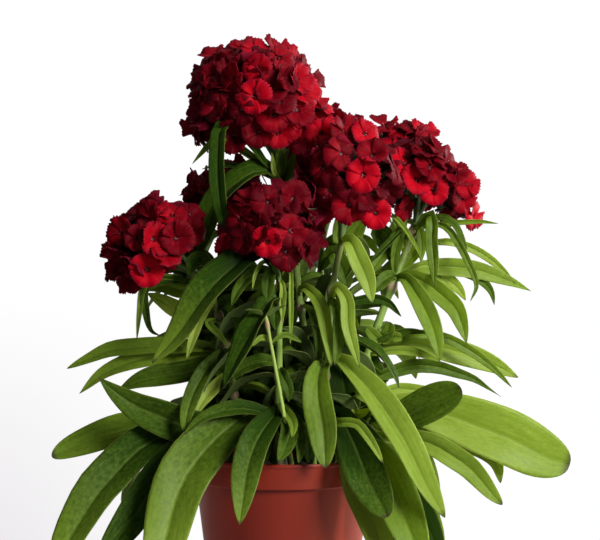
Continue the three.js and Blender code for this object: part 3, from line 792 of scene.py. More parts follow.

# %% [markdown]
# ## Leaves that the photograph shows
#
# A plain arc only comes near to a real leaf, which droops, turns and crosses its neighbours. Leaves that the
# photograph shows well are therefore read off it. Each is [height of its joint, where its midrib is
# seen, how far back it lies, width, roll, tone]. Where it is seen is a few places in pixels, to the right and
# down, and how far back is in millimetres behind the pot's middle, for its first and last place or for each.
#
# The camera is known, so a pixel and a distance give one place in space. A leaf may end with what is special
# to it: tip is the tone at its tip, and blunt is under 0.8 for a rounder tip and over 0.8 for a longer one.
# A tone is partly the leaf's own green and partly painted light and shade: leaves in the shade of others are
# given low or negative tones, lit ones high tones, and a tip tone paints a blade shaded at one end and lit at
# the other.

# %% Reading places off the photograph
PHOTO_WIDE, PHOTO_HIGH = 600, 540
PIXELS_PER_SLOPE = PHOTO_WIDE * camera_data.lens / camera_data.sensor_width


def read_off(pixels, back):
    """The places, to the nearest millimetre, that are seen at the pixels and lie that far back."""
    right, down = np.array(pixels, float).T
    back = np.array(back, float) if len(back) == len(pixels) else np.linspace(*back, len(pixels))
    mm_per_pixel = (back - CAMERA_PLACE[1]) / PIXELS_PER_SLOPE
    x = CAMERA_PLACE[0] + (right - PHOTO_WIDE / 2) * mm_per_pixel
    z = CAMERA_PLACE[2] - (down - PHOTO_HIGH / 2) * mm_per_pixel
    return np.stack([x, back, z], -1).round(1).round().tolist()


def seen_leaf(height, pixels, back, width, roll, tone, special=None):
    """A leaf that was read off the photograph, in the form that add_leaf takes."""
    return [height, read_off(pixels, back), width, roll, {"tone": tone, **(special or {})}]


def count_seen():
    print(sum(len(leaves) for leaves in SEEN_LEAVES.values()), "leaves read off so far")


SEEN_LEAVES = {}
print("a pixel at the pot's middle is", round(-CAMERA_PLACE[1] / PIXELS_PER_SLOPE, 2), "mm wide")

# %% Seen leaves of the right stem's top
SEEN_LEAVES["flowering_stem_right"] = [
    [258, [(431, 215), (432, 240), (433, 265), (434, 288)], (4, -10), 9.5, 20, 0.45],
    [258, [(432, 222), (447, 226), (460, 243), (471, 264), (477, 286), (471, 302)], (10, -8), 5.5, 15, 0.4],
    [258, [(441, 218), (453, 224), (462, 238), (467, 250)], (10, 2), 6, -20, 0.25],
    [250, [
        (435, 242), (452, 243), (471, 249), (487, 257), (501, 269), (515, 284),
    ], (18, 30), 6.5, 20, 0.85, {"blunt": 0.7}],
    [258, [(440, 223), (458, 221), (480, 220), (498, 224)], (16, 10), 4, 30, 0.6],
    [240, [(398, 228), (392, 216), (404, 229), (416, 248), (424, 264)], (8, -8), 3.5, 0, 0.7],
    [250, [(404, 230), (388, 244), (370, 263)], (8, -10), 6, 30, 0.1],
    [252, [(417, 236), (412, 247), (404, 263)], (22, 26), 12, 0, 1],
    [252, [(419, 228), (422, 245), (421, 262)], (14, 10), 7, 0, 0.5],
]
count_seen()

# %% Seen leaves of the right stem's middle joint
SEEN_LEAVES["flowering_stem_right"] += [
    [226, [
        (405, 273), (425, 268), (450, 268), (475, 271), (497, 277), (514, 284), (531, 291),
    ], (10, 34), 13.5, 12, 0.72, {"blunt": 1}],
    [226, [(404, 280), (412, 288), (420, 303), (428, 321), (435, 341), (440, 361)], (0, -24), 14.5, 0, 0.6],
    [226, [
        (408, 277), (426, 284), (442, 296), (454, 310), (461, 325), (466, 343),
    ], (2, -14), 14.5, 10, 0.6],
    [226, [(428, 272), (446, 278), (459, 288), (466, 301)], (16, 28), 11, 10, 1],
    [226, [(430, 270), (460, 272), (480, 280), (490, 291), (495, 305)], (20, 28), 9, 15, 0.35],
    [240, [(394, 276), (406, 264), (418, 252), (428, 240)], (12, 18), 7, 0, 0.7],
    [226, [(393, 258), (398, 238), (408, 218)], (6, 2), 7, 10, 0.4],
    [226, [(392, 277), (384, 281), (372, 293)], (4, -6), 10, 10, 0.3],
    [232, [(392, 246), (380, 259), (368, 277)], (12, 4), 10, 0, 0.45],
    [232, [(376, 230), (384, 232), (391, 243), (397, 259)], (22, 14), 10, 0, 0.2],
]
count_seen()

# %% Seen leaves of the right stem's foot
SEEN_LEAVES["flowering_stem_right"] += [
    [180, [(385, 347), (405, 343), (430, 343), (460, 350), (490, 361), (518, 377)], (4, 30), 18, 10, 0.85],
    [182, [(395, 341), (420, 334), (445, 339), (470, 351), (493, 367), (512, 387)], (0, 10), 7.5, 20, 0.5],
    [176, [
        (378, 376), (394, 370), (415, 366), (438, 367), (458, 372), (474, 379), (488, 387), (501, 397),
    ], (-6, 10), 10.5, 15, 0.3, {"blunt": 1.3}],
    [178, [(378, 354), (395, 351), (415, 352), (430, 357), (441, 362)], (-6, -12), 6.5, 0, 0.8],
    [184, [(376, 342), (392, 334), (410, 331), (430, 333)], (-4, -8), 5, 20, 0.2],
    [190, [(380, 340), (373, 334), (366, 327)], (-2, -10), 8, 0, 0.5, {"blunt": 0.5}],
    [190, [(383, 337), (388, 330), (390, 322)], (-2, -8), 9, 0, 0.4, {"blunt": 0.5}],
    [190, [(385, 340), (393, 337), (402, 338)], (-2, -8), 8, 0, 0.7, {"blunt": 0.5}],
    [152, [(360, 394), (371, 404)], (-20, -40), 8, 0, 1],
    [146, [(358, 414), (370, 409)], (-20, -44), 6, 0, 1],
    [245, [(404, 244), (400, 230), (398, 216), (398, 204)], (14, 16), 8, 0, 0.5],
]
count_seen()

# %% Seen leaves of the right shoot
SEEN_LEAVES["leafy_shoot_right"] = [
    [137, [(380, 398), (394, 390), (416, 391), (440, 398), (470, 409)], (-4, 10), 9, 10, 0.95],
    [137, [
        (385, 421), (402, 418), (420, 410), (440, 399), (461, 389),
    ], (-20, -48), 24, 0, 0.28, {"blunt": 0.42}],
    [132, [(395, 430), (420, 428), (447, 432), (475, 444), (490, 458)], (-2, -6), 13, 0, 0.9],
    [137, [
        (385, 408), (415, 409), (450, 417), (480, 428), (510, 440), (542, 455), (570, 465),
    ], (-8, -14), 38, 0, 0.9, {"blunt": 0.44, "tip": 0.75}],
    [124, [
        (395, 435), (420, 438), (437, 444), (454, 454), (469, 466), (481, 479), (492, 492), (503, 505),
    ], (-20, -40), 16, 5, 0.72, {"blunt": 0.6}],
    [126, [
        (430, 438), (458, 442), (481, 450), (495, 463), (501, 483),
    ], (-5, -10), 15, 0, 0.8, {"blunt": 0.7}],
]
count_seen()

# %% Seen leaves of the top and middle stems
SEEN_LEAVES["flowering_stem_top"] = [
    [287, [
        (275, 176), (262, 171), (250, 175), (238, 183), (228, 193), (217, 206), (210, 222), (201, 240),
        (192, 258), (183, 280),
    ], (-8, -10, -11, -10, -8, -6, -4, -4, -6, -8), 22, 30, 0.12],
    [290, [
        (266, 164), (252, 148), (240, 133), (229, 123), (221, 129), (219, 147), (218, 168), (219, 195),
        (225, 229),
    ], (-10, -13, -15, -18, -24, -36, -44, -45, -43), 11.5, 20, 0, {"blunt": 0.4}],
    [290, [(240, 150), (222, 136), (208, 146), (192, 163)], (-10, -20, -26, -28), 6.5, 10, 0.5],
    [288, [(281, 165), (280, 142)], (-8, -10), 9, 0, 0.3],
    [288, [(275, 173), (272, 152)], (-10, -12), 3.5, 0, 0.95],
    [288, [(291, 166), (295, 150)], (-8, -10), 6, 0, 0.4],
    [216, [(305, 290), (318, 304), (325, 330), (331, 367)], (-20, -46), 9.5, 0, 0.72],
]
SEEN_LEAVES["flowering_stem_middle"] = [
    [214, [(338, 286), (347, 300), (350, 325), (354, 348), (360, 367)], (-40, -52), 10, 0, 0.85],
    [214, [(336, 305), (339, 325), (338, 345), (334, 365)], (-38, -46), 9, 0, 0.4],
    [249, [(350, 243), (359, 260), (367, 280), (373, 303)], (-38, -48), 14, 0, 0.88],
    [213, [(350, 301), (372, 298), (388, 303), (402, 316)], (-26, -26), 7, 25, 0.05],
    [171, [
        (336, 358), (350, 370), (368, 391), (388, 418), (405, 447), (422, 480), (444, 518),
    ], (-34, -100), 21, -15, 0.78, {"blunt": 0.7}],
    [171, [
        (322, 366), (316, 378), (317, 403), (321, 430), (325, 467),
    ], (-36, -72), 20.5, 9, 0.5, {"blunt": 0.6}],
]
count_seen()

# %% Seen leaves of the front stem and the young shoot
SEEN_LEAVES["flowering_stem_front"] = [
    [225, [
        (262, 254), (248, 256), (232, 268), (217, 282), (202, 300), (180, 332), (153, 363),
    ], (-46, -50, -54, -57, -59, -60, -58), 25, 26, -0.75, {"tip": 0.85}],
    [228, [(264, 262), (256, 274), (252, 290)], (-46, -52), 3, 0, 0.8],
    [226, [(262, 272), (250, 278), (240, 290), (231, 306)], (-40, -46), 9, 20, 0.3],
    [226, [(270, 272), (268, 288), (268, 303)], (-44, -46), 9, 0, 0.2],
    [226, [(282, 285), (283, 305), (283, 322)], (-42, -44), 5, 0, 0.8],
    [224, [(277, 290), (276, 312), (275, 330)], (-40, -43), 10, 0, 0.1],
    [226, [(288, 268), (290, 300), (291, 346)], (-40, -42), 3.6, 0, 0.75],
    [207, [(272, 298), (262, 312), (250, 333), (238, 356), (225, 386)], (-44, -72), 19, 40, 0.05],
    [174, [(262, 362), (243, 367), (232, 379)], (-40, -40), 11, 20, 0.15],
    [172, [(283, 378), (288, 389), (289, 401)], (-48, -50), 8, 0, 0.15],
    [148, [
        (276, 414), (265, 428), (255, 446), (248, 469), (243, 496), (239, 525),
    ], (-44, -94), 20.5, 5, -0.3, {"tip": 0.6}],
    [150, [
        (284, 412), (289, 426), (285, 445), (279, 461),
    ], (-42, -68), 12.5, 0, 0.05, {"blunt": 0.7, "tip": 0.3}],
    [150, [(288, 410), (298, 424), (302, 444), (299, 463)], (-40, -62), 9, 0, 0.1, {"tip": 0.4}],
    [150, [(286, 412), (291, 420), (293, 428), (292, 437)], (-46, -66), 7, 0, 0.6],
    [146, [(270, 418), (268, 436), (266, 450), (265, 462)], (-40, -58), 11, 0, 0],
    [150, [(296, 412), (306, 428), (309, 446), (309, 463)], (-38, -54), 12, 0, -0.1],
]
SEEN_LEAVES["young_shoot_front"] = [
    [186, [(268, 340), (260, 338), (252, 346)], (-50, -54), 4, 0, 0.7],
    [188, [(286, 334), (294, 337), (301, 343)], (-50, -50), 4, 0, 0.5],
]
count_seen()

# %% Seen leaves of the left stem
SEEN_LEAVES["flowering_stem_left"] = [
    [222, [(172, 277), (155, 277), (142, 288), (138, 312), (137, 340)], (-14, -24), 5, 0, 0.5],
    [222, [
        (176, 279), (158, 281), (144, 290), (145, 312), (151, 331), (160, 336),
    ], (-14, -26), 6.5, 0, 0.1],
    [222, [(190, 284), (172, 281), (152, 284)], (-10, -2), 8, 20, 0.7],
    [212, [(200, 312), (180, 310), (163, 302), (147, 293)], (-6, 4), 13, 10, 0.85],
    [222, [(200, 290), (182, 290), (162, 286), (147, 290)], (0, 8), 13, 0, 0.55],
    [172, [
        (210, 352), (180, 357), (150, 359), (125, 365), (103, 375), (80, 393),
    ], (-6, -2), 14.5, 10, 0.66, {"blunt": 0.9}],
    [172, [
        (212, 348), (190, 345), (162, 344), (136, 345), (110, 349), (88, 357), (66, 369),
    ], (-10, -2), 12.5, 10, 0.55, {"blunt": 0.75}],
    [160, [(212, 366), (185, 372), (160, 375), (139, 381), (119, 390)], (-8, -10), 17, 10, 0.25],
    [222, [(204, 262), (194, 262), (188, 276)], (-16, -30), 12, 0, 0.12],
    [222, [(192, 274), (172, 260)], (-10, -10), 4, 0, 0.7],
    [222, [(213, 262), (207, 252), (198, 249)], (-12, -16), 4, 0, 0.1],
    [208, [(214, 300), (202, 318), (194, 338), (186, 359)], (-14, -24), 7, 0, 1],
    [208, [(228, 303), (240, 314), (242, 330), (231, 345)], (-18, -30), 13, 0, 0.05],
    [200, [(208, 322), (218, 334), (229, 347)], (-20, -30), 5, 0, 0.5],
    [172, [
        (224, 352), (208, 364), (195, 387), (187, 410), (184, 433),
    ], (-16, -54), 12, 10, 0.05, {"blunt": 0.6, "tip": 0.5}],
    [166, [(222, 382), (212, 392), (203, 403), (196, 417)], (-20, -30), 9, 0, 1],
    [222, [(204, 274), (188, 271), (172, 269), (157, 268)], (-4, 0), 9, 10, 0.35],
]
count_seen()

# %% Seen leaves of the left shoots
SEEN_LEAVES["leafy_shoot_left"] = [
    [122, [
        (195, 426), (170, 423), (145, 429), (120, 434), (92, 442), (68, 450), (51, 457),
    ], (-2, -12), 21.5, 10, 0.5, {"blunt": 0.52}],
    [128, [
        (205, 430), (182, 426), (160, 418), (138, 408), (117, 394), (98, 377),
    ], (-34, -38), 25, -8, 0, {"blunt": 0.95, "tip": 0.3}],
]
SEEN_LEAVES["leafy_shoot_front_left"] = [
    [128, [
        (205, 428), (182, 430), (159, 440), (136, 456), (118, 474), (102, 493), (86, 515), (71, 541),
        (57, 573), (47, 602),
    ], (-20, -70), 29.5, 16, -0.4, {"tip": 0.8}],
    [128, [
        (218, 430), (195, 438), (173, 457), (155, 480), (140, 502), (125, 524), (110, 547), (94, 579),
    ], (-26, -70), 25, 5, -0.2, {"tip": 0.15}],
    [137, [
        (250, 412), (236, 421), (214, 438), (196, 458), (182, 481), (173, 505), (167, 530), (160, 560),
        (152, 606),
    ], (-34, -88), 35.5, 5, 0.05, {"tip": 0.9}],
]
count_seen()

# %% Seen leaves of the front shoots
SEEN_LEAVES["leafy_shoot_front"] = [
    [132, [
        (268, 416), (246, 410), (222, 412), (203, 419), (184, 434),
    ], (-46, -58), 11, 25, -0.25, {"tip": 0.4}],
]
SEEN_LEAVES["leafy_shoot_front_right"] = [
    [136, [
        (338, 424), (355, 425), (367, 437), (376, 449), (383, 463),
    ], (-62, -88), 6.5, 0, 0.3, {"blunt": 0.6, "tip": 1}],
    [137, [
        (338, 416), (348, 436), (357, 457), (366, 479), (376, 499), (387, 517),
    ], (-50, -86), 26, 0, -0.3, {"blunt": 0.5, "tip": 0.28}],
    [127, [
        (348, 462), (353, 480), (360, 497), (368, 515), (378, 540), (389, 575),
    ], (-46, -49, -54, -62, -74, -88), 22, 0, 0.95],
    [127, [
        (350, 442), (369, 456), (385, 476), (397, 500), (407, 524), (416, 550), (424, 580),
    ], (-46, -54, -64, -75, -85, -93, -100), 29, 0, 0.55],
    [136, [
        (352, 424), (376, 452), (398, 480), (417, 507), (433, 535), (445, 570),
    ], (-40, -60), 22, -10, -0.1],
    [127, [(395, 462), (410, 485), (423, 510), (434, 535), (442, 565)], (-34, -50), 20, 0, 0.5],
    [127, [(362, 450), (376, 478), (388, 505), (398, 535), (404, 570)], (-36, -54), 24, 0, -0.1],
]
count_seen()

# %% Dark leaves in the heart of the plant
# Their low tones are partly their own deep green and partly painted shade for the heart of the plant.
SEEN_LEAVES["flowering_stem_back_left"] = [
    [200, [(222, 292), (212, 312), (204, 335), (200, 362)], (14, 4), 20, 0, 0.05],
    [160, [(263, 370), (260, 390), (257, 412)], (20, 10), 16, 0, -0.1],
    [160, [(217, 378), (211, 394), (205, 414)], (10, 0), 15, 0, -0.05],
    [225, [(244, 276), (232, 282), (218, 290), (208, 302)], (20, 10), 18, 0, 0.05],
    [200, [(255, 292), (244, 305), (232, 325), (222, 345)], (20, 6), 19, 0, 0],
    [200, [(262, 288), (268, 310), (266, 330), (262, 352)], (12, 0), 18, 0, 0],
    [180, [(255, 345), (248, 365), (246, 385), (246, 404)], (12, 0), 22, 0, 0, {"blunt": 0.5}],
    [180, [(264, 350), (270, 375), (272, 395), (272, 414)], (4, -8), 20, 0, -0.05, {"blunt": 0.5}],
    [180, [(238, 350), (230, 372), (226, 390), (224, 408)], (10, -2), 18, 0, 0, {"blunt": 0.5}],
]
SEEN_LEAVES["flowering_stem_back_right"] = [
    [150, [(350, 398), (360, 412), (374, 426)], (10, 0), 16, 0, 0.1],
    [220, [(300, 285), (290, 300), (286, 318), (284, 335)], (16, 6), 17, 0, 0.05, {"blunt": 0.5}],
    [200, [(310, 300), (316, 325), (314, 345), (311, 366)], (40, 28), 18, 0, 0.05, {"blunt": 0.5}],
    [200, [(325, 300), (333, 325), (338, 345), (342, 366)], (14, 0), 18, 0, 0.05, {"blunt": 0.5}],
    [180, [(312, 350), (304, 375), (299, 398), (296, 420)], (4, -14), 22, 0, -0.05, {"blunt": 0.5}],
    [180, [(336, 350), (344, 378), (348, 400), (350, 422)], (4, -14), 22, 0, -0.05, {"blunt": 0.5}],
    [180, [(350, 345), (364, 360), (374, 380), (378, 402)], (8, -6), 20, 0, 0.1, {"blunt": 0.5}],
    [232, [(334, 252), (340, 262), (345, 274), (348, 288)], (24, 16), 13, 0, 0.3, {"blunt": 0.5}],
    [250, [(344, 246), (352, 236), (359, 224), (365, 212)], (26, 20), 16, 0, 0.5],
    [250, [(339, 246), (339, 232), (340, 218), (343, 206)], (26, 20), 8, 0, 0.7],
]
count_seen()

# %% [markdown]
# ## Making the stems
#
# The joints between the listed leaves bear smaller ones too. They follow a rule, with a seeded random
# draw: a pair at every joint, each pair turned by a quarter from the last one, as on the real stem. None of
# them comes to the front, where the photograph shows what is there, and none hangs down into the pot.

# %% Inner leaves
INNER_FOOT, INNER_TOP = 18, 16
INNER_STEP = 14
INNER_GAP = 4
LOWEST_TIP = 121
FRONTMOST = -0.2
# Painted shade: leaves in the heart of the plant have their tone lowered by this much.
INNER_PAINTED_SHADE = 0.22
SHOOT_SEED = 100


def inner_leaves(foot, top, joints, random):
    """Smaller leaves at the joints between the listed ones. They fill the heart of the plant."""
    found = []
    turn = random.uniform(0, 360)
    for height in np.arange(foot + INNER_FOOT, top - INNER_TOP, INNER_STEP):
        turn += 90 + random.uniform(-20, 20)
        if min(abs(height - joint) for joint in joints) < INNER_GAP:
            continue
        for side in (0, 180):
            reach, rise = random.uniform(26, 46), random.uniform(-40, -8)
            rise = max(rise, LOWEST_TIP - float(height))
            width, roll = random.uniform(11, 17), random.uniform(-20, 20)
            spec = [float(height), turn + side + random.uniform(-15, 15)]
            if math.sin(math.radians(spec[1])) > FRONTMOST:
                found.append([*spec, reach, rise, random.uniform(60, 100), width, roll])
    return found


def leaf_tone(root, spec, random):
    """The leaf's given tone, or one with painted light: paler on the lit right side than on the left."""
    if isinstance(spec[-1], dict):
        return spec[-1]["tone"]
    tip = root[0] + spec[1] * math.cos(math.radians(spec[0]))
    # Painted light: the tone rises towards the lit right side, with a random spread.
    return float(np.clip(0.40 + 0.28 * tip / 150 + random.uniform(-0.13, 0.13), 0.05, 0.95))


print("an inner leaf every", INNER_STEP, "mm up a flowering stem, on both sides")

# %% Stems with their leaves
for number, (name, (route, radii, joints, leaves)) in enumerate(SHOOTS.items()):
    random = np.random.default_rng(SHOOT_SEED + number)
    piece = Piece("fine_" + name)
    at = stem_line(route)
    foot, top = route[0][2], route[-1][2]
    inner = inner_leaves(foot, top, joints, random) if "stem" in name else []
    seen = [seen_leaf(*leaf) for leaf in SEEN_LEAVES.get(name, [])]
    outer = leaves + SMALL_LEAVES.get(name, []) + seen
    add_stem(piece, at, foot, top, radii, joints, 1.0 if "young" in name else random.uniform(0.1, 0.5))
    # The inner leaves get painted shade, a lower tone, for the heart of the plant.
    for leaves, darker in ((outer, 0), (inner, INNER_PAINTED_SHADE)):
        for height, *spec in leaves:
            root = at(np.array(height))
            add_leaf(piece, root, spec, leaf_tone(root, spec, random) - darker, random)
    piece.make([LEAF, STEM], "leaf", name)

# %% [markdown]
# ## Petal finish
#
# A petal is velvety and deep crimson, darker at the throat, with fine lines that run out from it, and its
# toothed edge catches a little magenta. The back is duller and pinker. Sheen gives the velvet, and as with
# the leaves a translucent shader lets the light through.

# %% Petal finish
PETAL_REDS = [
    (0.0, (0.050, 0.001, 0.003)),
    (0.09, (0.20, 0.001, 0.005)),
    (0.20, (0.44, 0.002, 0.012)),
    (0.6, (0.40, 0.001, 0.009)),
    (0.9, (0.31, 0.001, 0.010)),
    (1.0, (0.30, 0.006, 0.022)),
]
DEEP_RED, RAY_PINK, BACK_RED = (0.070, 0.0006, 0.004), (0.66, 0.05, 0.07), (0.20, 0.010, 0.030)
LIGHT_THROUGH_RED = (0.85, 0.010, 0.030)
SHEEN_PINK = (0.95, 0.25, 0.42, 1.0)


def petal_finish():
    """Reds from the throat to the edge, darkened by the petal's tone, partly painted shade, with short pale
    rays.
    """
    material, tree = new_material("petal")
    across, along, tone, under = (read(tree, name) for name in ("across", "along", "tone", "under"))
    line = streaks(tree, across, along, tone, 4.0, 1.5)
    face = ramp(tree, along, PETAL_REDS)
    deep = calc(tree, "MULTIPLY_ADD", calc(tree, "SUBTRACT", line, 0.5), 0.5, tone)
    # Low tones darken the face towards DEEP_RED: partly the florets' own darker red, partly painted shade.
    face = tint(tree, ease(tree, deep, 0.9, 0.1), face, DEEP_RED)
    ray = calc(tree, "MULTIPLY", ease(tree, along, 0.12, 0.2), ease(tree, along, 0.34, 0.22))
    ray = calc(tree, "MULTIPLY", ray, ease(tree, line, 0.5, 0.66))
    face = tint(tree, calc(tree, "MULTIPLY", ray, 0.20), face, RAY_PINK)
    face = tint(tree, under, face, tint(tree, 0.5, face, BACK_RED))
    bump = wire(tree, "Bump", {"Height": line, "Strength": 0.4, "Distance": 0.0004}).outputs[0]
    velvet = wire(tree, "BsdfPrincipled", {"Base Color": face, "Normal": bump})
    velvet.inputs["Roughness"].default_value = 0.6
    velvet.inputs["Specular IOR Level"].default_value = 0.05
    velvet.inputs["Sheen Weight"].default_value = 0.03
    velvet.inputs["Sheen Roughness"].default_value = 0.4
    velvet.inputs["Sheen Tint"].default_value = SHEEN_PINK
    through = tint(tree, 0.5, face, LIGHT_THROUGH_RED)
    lit = wire(tree, "BsdfTranslucent", {"Color": through, "Normal": bump})
    both = wire(tree, "MixShader", {0: 0.32, 1: velvet.outputs[0], 2: lit.outputs[0]})
    wire(tree, "OutputMaterial", {"Surface": both.outputs[0]})
    return material


PETAL = petal_finish()
print("the petal finish has", len(PETAL.node_tree.nodes), "nodes")

# %% Calyx and anther finish
def calyx_finish():
    """Green at the foot of the floret's tube, dull red near its mouth, in fine ribs, near-black at low tone,
    partly painted shade.
    """
    material, tree = new_material("calyx")
    across, along, tone = (read(tree, name) for name in ("across", "along", "tone"))
    line = streaks(tree, across, along, tone, 14.0, 2.0)
    green = tint(tree, line, (0.030, 0.060, 0.008), (0.10, 0.17, 0.03))
    # Near-black at low tone: on calyxes, bracts and buds partly their own dark tint and partly painted shade,
    # on the cushion painted shade.
    green = tint(tree, ease(tree, tone, 0.7, 0.0), green, (0.020, 0.016, 0.006))
    green = tint(tree, ease(tree, along, 0.55, 1.0), green, (0.05, 0.006, 0.007))
    bump = wire(tree, "Bump", {"Height": line, "Strength": 0.3, "Distance": 0.0003}).outputs[0]
    gloss = wire(tree, "BsdfPrincipled", {"Base Color": green, "Roughness": 0.5, "Normal": bump})
    wire(tree, "OutputMaterial", {"Surface": gloss.outputs[0]})
    return material


def thread_finish():
    """The fine pale pink threads in the middle of each floret."""
    material, tree = new_material("thread")
    along = read(tree, "along")
    pink = tint(tree, along, (0.16, 0.005, 0.010), (0.36, 0.05, 0.06))
    gloss = wire(tree, "BsdfPrincipled", {"Base Color": pink, "Roughness": 0.5})
    wire(tree, "OutputMaterial", {"Surface": gloss.outputs[0]})
    return material


CALYX, THREAD = calyx_finish(), thread_finish()
print("the calyx finish has", len(CALYX.node_tree.nodes), "nodes")

# %% [markdown]
# ## Flower heads
#
# Each head is a crowded dome, given by its middle, the lean of its stem, and how far it reaches across and
# along that lean. Florets that the photograph shows are listed one by one, as [right, up, face right, face up,
# tone]: how far right and up of the head's middle the floret is seen, how far its face turns right and up,
# and how bright its red is, from 0 to 1.
#
# The others are spread over the dome by a golden turn, which keeps them evenly apart without rows. Reach is
# how far down the dome they go, in degrees from its top, and glow is their brightest red. Two heads lean
# against their neighbours, so that one side of the dome is flat. Their trim is that side's direction to the
# right and up, and its distance from the middle.
# A floret's tone and a head's glow are partly the florets' own red and partly painted light and shade: florets
# turned to the light are given bright tones, those turned away and those in shade dark ones.

# %% Top head
HEADS = {
    "top": {
        "middle": [-18, 0, 341], "lean": [-0.2, 0.05],
        "across": 36.5, "along": 33, "florets": 66, "reach": 108, "glow": 0.34,
        "seen": [
            [1, -2, -0.1, 0, 0.95], [2.6, 15.6, -0.25, 0.2, 0.6], [-6, 33, -0.1, 0.8, 0.5],
            [1, 29.6, 0.3, 0.6, 0.6], [15.5, 23.5, 0.25, 0.6, 0.5], [14, 31, 0.5, 0.6, 0.45],
            [-19, 24.6, -0.4, 0.6, 0.45], [-12, 9.8, -0.75, 0.1, 0.35], [27.4, 10.4, 0.75, 0.1, 0.6],
            [31.8, 3.5, 0.6, 0.3, 0.7], [42, -3.8, 0.55, 0.75, 0.75], [27.4, -8.6, 0.35, 0.1, 0.45],
            [15, -22.8, 0.1, -0.1, 0.6], [3.2, -22.8, -0.05, -0.1, 0.35], [13.3, -12.4, 0.4, 0.2, 0.5],
            [30, -28, 0.1, -0.1, 0.7], [28.6, -20, 0.3, 0.2, 0.55], [-23.9, -7.7, -0.45, 0.1, 0.35],
            [-32.5, -16.4, -0.5, 0, 0.4], [-38, -14, -0.85, 0.1, 0.3], [-38.5, -20, -0.85, -0.2, 0.3],
            [-33.7, -24, -0.85, -0.4, 0.15], [-25.5, 13, -0.5, 0.4, 0.3],
            [-35, 12, -0.8, 0.3, 0.35], [-36.5, 3, -0.85, 0.1, 0.3], [-26, 29, -0.5, 0.75, 0.35],
            [-31.5, 21, -0.7, 0.6, 0.3], [-17, 29.5, -0.5, 0.7, 0.3], [26, 25, 0.6, 0.6, 0.4],
            [32, 19, 0.85, 0.3, 0.35], [36, 11, 0.9, 0.2, 0.3], [38, 2, 0.9, 0.1, 0.3],
            [17.5, 10, 0.8, 0, 0.15], [-8, -10, -0.3, -0.3, 0.15], [-13, -24.7, -0.2, -0.2, 0.2],
            [9.7, 31.5, 0.1, 0.85, 0.15], [16.4, -4.5, 0.1, 0.6, 0.3], [41.5, -16, 0.3, 0.1, 0.7],
        ],
    },
}
print(len(HEADS["top"]["seen"]), "florets of the top head are placed by hand")

# %% Right and middle heads
HEADS |= {
    "right": {
        "middle": [92, 25, 291], "lean": [0.25, 0.05],
        "across": 34, "along": 29, "trim": [0.885, 0.466, 13], "florets": 50, "reach": 114, "glow": 0.55,
        "seen": [
            [-15.5, 9, 0.55, 0.3, 0.85], [-7, -1.5, 0.4, 0.35, 0.9], [-12.5, -19.3, 0.75, -0.2, 0.5],
            [3.4, -7.8, 0.05, 0.05, 0.85], [25.5, -4, 0.35, 0.2, 0.62], [18, 3, 0.1, 0.5, 0.4],
            [33, -23.5, 0.86, -0.12, 0.7], [20.5, -23.7, 0.4, -0.7, 0.3], [-15, 34, 0, 0.75, 0.55],
            [0.2, 32.5, 0.3, 0.75, 0.55], [-26, 36, -0.2, 0.85, 0.3], [-8, 35.5, 0.1, 0.92, 0.35],
            [-9, 29, 0.1, 0.5, 0.12], [24, -12, 0.5, -0.2, 0.35], [-22, 20, 0.2, 0.5, 0.5],
            [-1, 17, 0.2, 0.8, 0.3], [1.5, 6.8, 0.2, 0.5, 0.4], [6, 19, 0.75, 0.5, 0.25],
            [13, 10, 0.7, 0.6, 0.3], [-31, 26, 0.5, 0.4, 0.2],
        ],
    },
    "middle": {
        "middle": [41, -23, 290], "lean": [0, -0.15],
        "across": 30, "along": 31, "florets": 38, "reach": 124, "glow": 0.3,
        "seen": [
            [8.1, -0.3, 0, 0, 0.9], [16.6, -22.8, 0.05, -0.05, 1], [-16.7, 27.6, -0.05, 0.1, 0.75],
            [9.9, 26.3, 0.3, 0.3, 0.65], [-16, 4.5, -0.4, 0, 0.3], [-18, -21, 0, -0.05, 0.6],
            [0, -18.5, 0, -0.3, 0.35], [-4.6, 13, 0.5, 0.3, 0.3], [13.6, 12.4, 0, 0.5, 0.35],
            [-2.8, 27, 0.7, 0.3, 0.35], [-12, -9.5, -0.3, -0.1, 0.15],
        ],
    },
}
print("heads so far:", ", ".join(HEADS))

# %% Front and left heads
HEADS |= {
    "front": {
        "middle": [-5, -38, 254], "lean": [0, -0.15],
        "across": 28, "along": 28, "florets": 34, "reach": 116, "glow": 0.12,
        "seen": [
            [-3.8, -5.3, -0.1, -0.05, 0.85], [10, 1.5, 0.3, 0, 0.35], [-3.8, 19.2, 0, 0.25, 0.2],
            [11.7, 21.6, 0.4, 0.2, 0.2], [-14, 19.8, -0.3, 0.8, 0.4], [-21, 9, -0.5, 0.3, 0.2],
            [-24.7, -8.3, -0.2, -0.2, 0.2], [-17.5, -2.9, -0.7, 0, 0.1],
        ],
    },
    "left": {
        "middle": [-80, -8, 245], "lean": [-0.9, -0.1],
        "across": 31, "along": 28, "trim": [0.39, 0.92, 27], "florets": 40, "reach": 108, "glow": 0.26,
        "seen": [
            [-3.5, -12.8, 0.05, -0.1, 0.9], [1, 6, 0.65, 0.1, 0.62], [8, -3.5, 0.3, 0.6, 0.55],
            [14.3, 6.6, 0.3, 0.1, 0.35], [11.2, 21, 0.1, 0.7, 0.6], [21, 21, 0.4, 0.5, 0.3],
            [23.5, 12, 0.3, 0.4, 0.45], [0, 23, -0.1, 0.9, 0.5], [-20.7, 10.3, -0.35, 0.05, 0.3],
            [-9.6, 6.6, 0.6, 0, 0.25], [-2.9, 19.5, -0.6, 0.2, 0.25], [-14.5, 22.6, -0.4, 0.85, 0.3],
            [-14.5, -18.5, -0.3, -0.2, 0.2], [-23.7, -19, -0.85, -0.3, 0.25],
            [-28, -10, -0.85, -0.2, 0.2], [-24.3, -2, -0.3, -0.8, 0.05],
        ],
    },
}
